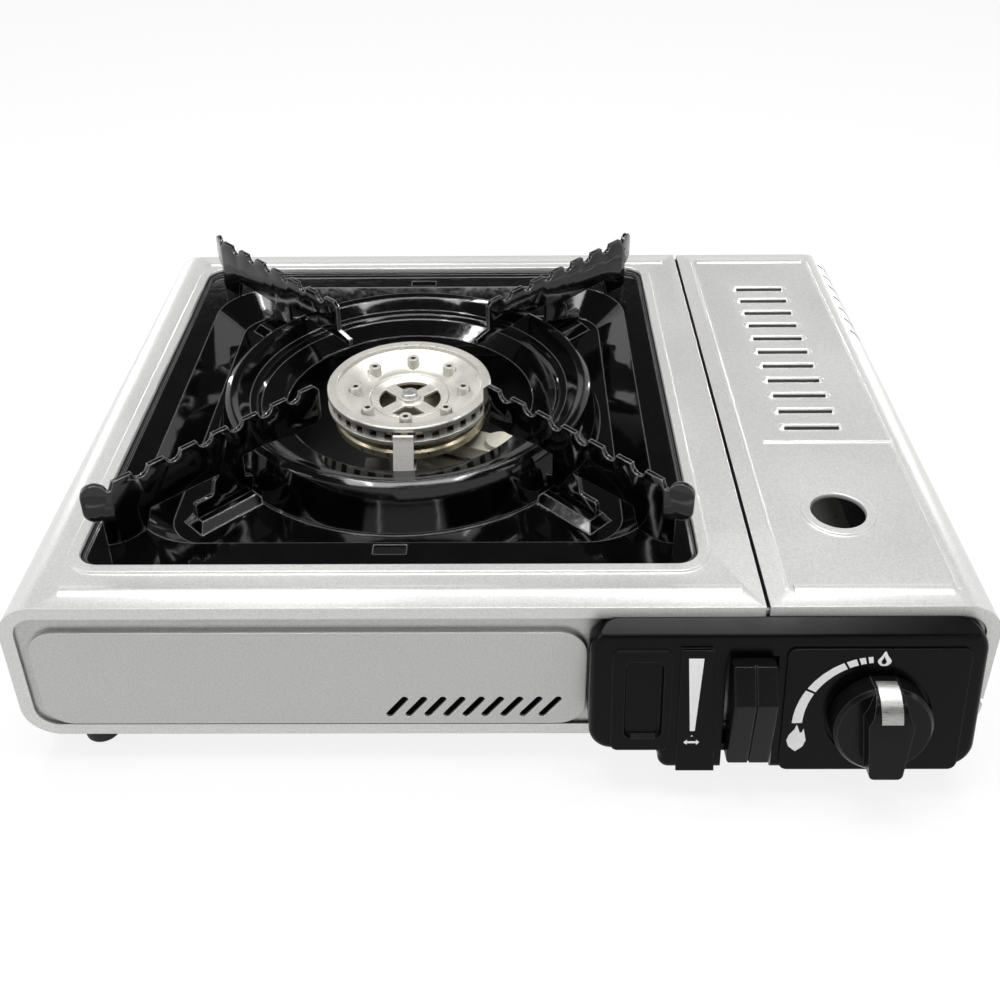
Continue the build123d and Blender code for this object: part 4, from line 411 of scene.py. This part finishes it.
def ceramic():
    mat, tree, shader = material("ceramic", (0.70, 0.69, 0.66), metallic=0.0, roughness=0.55)
    grain = noise(tree, 800.0)
    link(tree, ramp(tree, grain, (0.62, 0.61, 0.58), (0.76, 0.75, 0.72)), shader.inputs["Base Color"])
    bump(tree, shader, grain, distance=0.03 * MM, strength=0.4, round_edge=0.3 * MM)
    return mat


# one look for each material slot of the record
looks = {
    "silver_paint": silver_paint("hammered_silver"),
    "black_enamel": black_enamel(),
    "cast_aluminium": cast_aluminium("cast_aluminium", (0.54, 0.525, 0.48), (0.64, 0.625, 0.58), 0.55),
    "brass_cup": pale_brass(),
    "brass_fitting": machined_brass(),
    "regulator_metal": plated_steel("regulator_metal"),
    "zinc_steel": plated_steel("zinc_steel"),
    "black_plastic": plastic("black_plastic", grey(0.0015), 0.21, grey(0.03), gloss=0.11),
    "grey_plastic": plastic("grey_plastic", grey(0.004), 0.18, grey(0.06), gloss=0.14),
    "white_plastic": plastic("white_plastic", (0.75, 0.75, 0.72), 0.4, (0.8, 0.8, 0.78)),
    "ceramic": ceramic(),
    "silver_trim": plated_steel("silver_trim", 0.72),
    "rubber": plastic("rubber", grey(0.012), 0.6, grey(0.03), grain_size=900.0, depth=0.05 * MM),
}
# nodes whose look departs a little from that of their slot
special = {
    # the shell gets painted shade on its inner faces
    "body_shell": silver_paint("shell_paint_shaded_inside", shade_inside=True),
    # the front plate's paint is darkened: painted shade for its upright face, which gets less light than the top
    "front_plate": silver_paint("shaded_front_paint", 0.76),
    "flame_bracket": cast_aluminium("bright_casting", (0.76, 0.75, 0.71), (0.86, 0.85, 0.82), 0.2),
    "burner_body": cast_aluminium("warm_casting", (0.66, 0.63, 0.54), (0.76, 0.73, 0.64), 0.4),
}


# ---------------------------------------------------------------- CAD nodes
WELD_REACH = 0.004 * MM
SHARP_ANGLE = math.radians(32.0)
SUPPORT_ROUND = 0.8 * MM
SUPPORT_ANGLE = math.radians(40.0)


def round_edges(obj, width, angle):
    bevel = obj.modifiers.new("bevel", "BEVEL")
    bevel.width = width
    bevel.segments = 2
    bevel.limit_method = "ANGLE"
    bevel.angle_limit = angle


def dress(name, mat):
    """Material, smooth shading with sharp edges kept, and welded seams on a CAD node."""
    obj = nodes[name]
    obj.data.materials.clear()
    obj.data.materials.append(mat)
    for attribute in ("custom_normal", "sharp_edge", "sharp_face"):
        if attribute in obj.data.attributes:
            obj.data.attributes.remove(obj.data.attributes[attribute])
    obj.data.polygons.foreach_set("use_smooth", [True] * len(obj.data.polygons))
    weld = obj.modifiers.new("weld", "WELD")
    weld.merge_threshold = WELD_REACH
    if name.startswith("pot_support_"):
        round_edges(obj, SUPPORT_ROUND, SUPPORT_ANGLE)
    split = obj.modifiers.new("split", "EDGE_SPLIT")
    split.split_angle = SHARP_ANGLE


for part in frame["record"]["subparts"]:
    node = part["node"]
    dress(node, special.get(node, looks[part["material_slot"]]))


# ---------------------------------------------------------------- pieces made here
def mesh_object(name, bm):
    mesh = bpy.data.meshes.new(name)
    bmesh.ops.recalc_face_normals(bm, faces=bm.faces)
    bm.to_mesh(mesh)
    bm.free()
    obj = bpy.data.objects.new(name, mesh)
    scene.collection.objects.link(obj)
    return obj


def finish_piece(obj, mat, body):
    obj.data.materials.append(mat)
    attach(obj, body)


# ---------------------------------------------------------------- prints on the panel's face
# Places on the tilted face are in millimetres: along X, and down from the panel's fold.
# The printed scale's centre lies a little below the knob's.
KNOB_DOWN = 32.0
SCALE_DOWN = KNOB_DOWN + 1.0
DIAL_HEIGHT = 0.8
WEDGE_HEIGHT = 1.4
PRINT_LIFT = 0.06
PRINT_THICK = 0.05
knob_joint = next(joint for joint in frame["joints"] if joint["name"] == "knob_turn")
knob_place = Vector(knob_joint["pos_m"])
KNOB_X = knob_place.x / MM
FACE_OUT = Vector(knob_joint["axis"])
FACE_UP = FACE_OUT.cross(X_AXIS)
FOLD = Vector((0.0, knob_place.y, knob_place.z)) + FACE_UP * (KNOB_DOWN * MM)

white_print = print_white()


def face_point(x, down, out):
    """Point of the frame from millimetres along X, down the panel's face and out of it."""
    return FOLD + X_AXIS * (x * MM) - FACE_UP * (down * MM) + FACE_OUT * (out * MM)


def printed(name, outlines, height):
    """Thin printed shapes, at a height over the face, from outlines of (x, down) points."""
    bm = bmesh.new()
    under = height + PRINT_LIFT
    for outline in outlines:
        low = [bm.verts.new(face_point(x, down, under)) for x, down in outline]
        high = [bm.verts.new(face_point(x, down, under + PRINT_THICK)) for x, down in outline]
        bm.faces.new(high)
        bm.faces.new(list(reversed(low)))
        for i in range(len(low)):
            j = (i + 1) % len(low)
            bm.faces.new((low[i], low[j], high[j], high[i]))
    finish_piece(mesh_object(name, bm), white_print, "base")


# the scale is cut into bands and grows thinner and closer to the knob towards its small flame
SCALE_BANDS = ((183.0, 155.0), (153.0, 120.6), (118.8, 111.4), (109.4, 105.0), (102.9, 99.4))
SCALE_TURN = (SCALE_BANDS[0][0], SCALE_BANDS[-1][1])
SCALE_OUTER = (29.6, 26.1)
SCALE_WIDTH = (3.6, 2.4)
SCALE_STEP = 3.0


def between(ends, share):
    return ends[0] + (ends[1] - ends[0]) * share


def scale_band(start, end):
    """Band of the dial scale between two angles in degrees, counted from +X towards up."""
    steps = max(2, int(abs(end - start) / SCALE_STEP))
    outer_edge = []
    inner_edge = []
    for i in range(steps + 1):
        degrees = between((start, end), i / steps)
        share = (degrees - SCALE_TURN[0]) / (SCALE_TURN[1] - SCALE_TURN[0])
        outer = between(SCALE_OUTER, share)
        inner = outer - between(SCALE_WIDTH, share)
        angle = math.radians(degrees)
        outer_edge.append((KNOB_X + outer * math.cos(angle), SCALE_DOWN - outer * math.sin(angle)))
        inner_edge.append((KNOB_X + inner * math.cos(angle), SCALE_DOWN - inner * math.sin(angle)))
    return outer_edge + inner_edge[::-1]


CURVE_STEPS = 6


def curve(points):
    """Closed smooth outline through the points."""
    count = len(points)
    out = []
    for i in range(count):
        p0, p1, p2, p3 = (Vector(points[(i + k) % count]) for k in (-1, 0, 1, 2))
        for step in range(CURVE_STEPS):
            t = step / CURVE_STEPS
            square = 2 * p0 - 5 * p1 + 4 * p2 - p3
            cube = 3 * p1 - p0 - 3 * p2 + p3
            out.append(tuple(0.5 * (2 * p1 + (p2 - p0) * t + square * t ** 2 + cube * t ** 3)))
    return out


# outlines that fill the square from -1 to 1, top at -1, because places on the face count downwards
FLAME_SHAPE = ((-0.05, -1.0), (-0.28, -0.62), (-0.78, -0.22), (-0.98, 0.18), (-0.74, 0.62), (0.0, 1.0),
               (0.74, 0.62), (0.98, 0.18), (0.82, -0.30), (0.66, -0.70), (0.50, -0.38), (0.30, -0.42))
DROP_SHAPE = ((0.0, -1.0), (-0.45, -0.35), (-0.95, 0.30), (-0.6, 0.85),
              (0.0, 1.0), (0.6, 0.85), (0.95, 0.30), (0.45, -0.35))


def placed(shape, x, down, width, height):
    """A shape about a place on the face, at its width and height."""
    return [(x + across * width / 2, down + below * height / 2) for across, below in shape]


def band_between(outer, inner):
    """Quads between two closed outlines with the same number of points."""
    count = len(outer)
    return [(outer[i], outer[(i + 1) % count], inner[(i + 1) % count], inner[i]) for i in range(count)]


def dial_prints():
    """Scale round the knob, a full flame at one end and a small ring-shaped one at the other."""
    printed("scale_arc", [scale_band(start, end) for start, end in SCALE_BANDS], DIAL_HEIGHT)
    full = placed(FLAME_SHAPE, x=103.5, down=40.8, width=6.8, height=11.4)
    printed("flame_full", [full], DIAL_HEIGHT)
    ring_outer = curve(placed(DROP_SHAPE, x=130.8, down=8.0, width=4.9, height=5.9))
    ring_inner = curve(placed(DROP_SHAPE, x=130.6, down=8.7, width=1.9, height=3.1))
    printed("flame_ring", band_between(ring_outer, ring_inner), DIAL_HEIGHT)


def wedge_prints():
    """Long wedge beside the lock lever, with a small chevron and a two-headed arrow below it."""
    wedge = ((64.6, 7.4), (69.8, 7.4), (68.0, 37.3), (66.3, 37.3))
    printed("wedge_print", [wedge], WEDGE_HEIGHT)
    arrow = ((64.3, 42.1), (65.5, 41.0), (65.5, 41.7), (68.7, 41.7), (68.7, 41.0),
             (69.8, 42.1), (68.7, 43.2), (68.7, 42.5), (65.5, 42.5), (65.5, 43.2))
    chevron = ((67.1, 39.0), (67.5, 39.7), (67.1, 39.5), (66.7, 39.7))
    printed("arrow_print", [arrow, chevron], WEDGE_HEIGHT)


dial_prints()
wedge_prints()


# ---------------------------------------------------------------- spider in the burner's bowl
head_low, head_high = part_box("burner_head")
BURNER_X = (head_low.x + head_high.x) / 2
BURNER_Y = (head_low.y + head_high.y) / 2
BOWL_FLOOR = head_low.z + 3.4 * MM
# radius and height over the bowl's floor, from the screw outwards
SPIDER = ((4.6, -0.5), (5.3, -1.5), (6.2, -1.8), (9.0, -1.8), (11.5, -1.8),
          (13.4, -1.75), (14.2, -1.6), (15.2, -1.1), (16.2, -0.6), (16.95, -0.35))
HOLE_ROWS = range(2, 5)
QUARTER = math.pi / 2
SPOKE_HALF = 2.9
SPOKE_COLUMNS = 4
HOLE_COLUMNS = 14
SPIDER_THICK = 1.6 * MM
SPIDER_ROUND = 0.3 * MM
SPIDER_ANGLE = math.radians(45.0)


def spider_angles(radius):
    """Column angles round the bowl: spokes of even width on the diagonals, sector holes between."""
    half = math.asin(SPOKE_HALF / radius)
    angles = []
    for quarter in range(4):
        spoke = QUARTER / 2 + quarter * QUARTER
        angles += [spoke - half + 2 * half * i / SPOKE_COLUMNS for i in range(SPOKE_COLUMNS)]
        angles += [spoke + half + (QUARTER - 2 * half) * i / HOLE_COLUMNS for i in range(HOLE_COLUMNS)]
    return angles


def burner_spider():
    """Dished disc with four sector holes, held under the burner's screw."""
    bm = bmesh.new()
    rows = []
    for radius, height in SPIDER:
        reach = radius * MM
        level = BOWL_FLOOR + height * MM
        rows.append([bm.verts.new((BURNER_X + reach * math.cos(a), BURNER_Y + reach * math.sin(a), level))
                     for a in spider_angles(radius)])
    count = len(rows[0])
    for row, (inner, outer) in enumerate(zip(rows, rows[1:])):
        for i in range(count):
            beside_spoke = i % (SPOKE_COLUMNS + HOLE_COLUMNS) >= SPOKE_COLUMNS
            if beside_spoke and row in HOLE_ROWS:
                continue
            j = (i + 1) % count
            bm.faces.new((inner[i], outer[i], outer[j], inner[j]))
    bmesh.ops.recalc_face_normals(bm, faces=bm.faces)
    bmesh.ops.solidify(bm, geom=list(bm.faces), thickness=SPIDER_THICK)
    spider = mesh_object("burner_spider", bm)
    round_edges(spider, SPIDER_ROUND, SPIDER_ANGLE)
    finish_piece(spider, looks["cast_aluminium"], "base")


burner_spider()


# ---------------------------------------------------------------- floor
FLOOR_REACH = 2.4
WALL_BEND = 0.6
WALL_TOP = 1.5
BEND_STEPS = 8
FLOOR_TURNS = 48
FLOOR_DROP = 0.2 * MM
FLOOR_TONE = grey(0.75)
GLOW_SHARE = 0.85


def sweep_points():
    """Radius and height from the floor's edge up the bend and the wall."""
    points = []
    for i in range(BEND_STEPS + 1):
        angle = math.pi / 2 * i / BEND_STEPS
        points.append((FLOOR_REACH + WALL_BEND * math.sin(angle), WALL_BEND * (1 - math.cos(angle))))
    return points + [(FLOOR_REACH + WALL_BEND, WALL_TOP)]


def seen_rays(tree):
    """1 for camera, glossy and transmission rays, else 0."""
    path = tree.nodes.new("ShaderNodeLightPath")
    total = path.outputs["Is Camera Ray"]
    for ray in ("Is Glossy Ray", "Is Transmission Ray"):
        add = tree.nodes.new("ShaderNodeMath")
        add.operation = "ADD"
        add.use_clamp = True
        link(tree, total, add.inputs[0])
        link(tree, path.outputs[ray], add.inputs[1])
        total = add.outputs["Value"]
    return total


def white_floor():
    """White that mostly glows where it is seen, and takes the object's shadow with the rest."""
    mat = bpy.data.materials.new("white_floor")
    mat.use_nodes = True
    tree = mat.node_tree
    tree.nodes.clear()
    out = tree.nodes.new("ShaderNodeOutputMaterial")
    diffuse = tree.nodes.new("ShaderNodeBsdfDiffuse")
    diffuse.inputs["Color"].default_value = (*FLOOR_TONE, 1)
    glow = tree.nodes.new("ShaderNodeEmission")
    glow.inputs["Color"].default_value = (1, 1, 1, 1)
    glow.inputs["Strength"].default_value = 1.0
    mix = tree.nodes.new("ShaderNodeMixShader")
    link(tree, combine(tree, "MULTIPLY", seen_rays(tree), GLOW_SHARE), mix.inputs["Fac"])
    link(tree, diffuse.outputs["BSDF"], mix.inputs[1])
    link(tree, glow.outputs["Emission"], mix.inputs[2])
    link(tree, mix.outputs["Shader"], out.inputs["Surface"])
    return mat


def make_floor():
    """White sweep: floor, bend and low wall all round."""
    bm = bmesh.new()
    centre = bm.verts.new((0, 0, 0))
    rings = []
    for radius, height in sweep_points():
        ring = []
        for i in range(FLOOR_TURNS):
            angle = 2 * math.pi * i / FLOOR_TURNS
            ring.append(bm.verts.new((radius * math.cos(angle), radius * math.sin(angle), height)))
        rings.append(ring)
    for i in range(FLOOR_TURNS):
        j = (i + 1) % FLOOR_TURNS
        bm.faces.new((centre, rings[0][i], rings[0][j]))
        for lower, upper in zip(rings, rings[1:]):
            bm.faces.new((lower[i], upper[i], upper[j], lower[j]))
    floor = mesh_object("floor", bm)
    floor.data.materials.append(white_floor())
    floor.location.z = -FLOOR_DROP


make_floor()
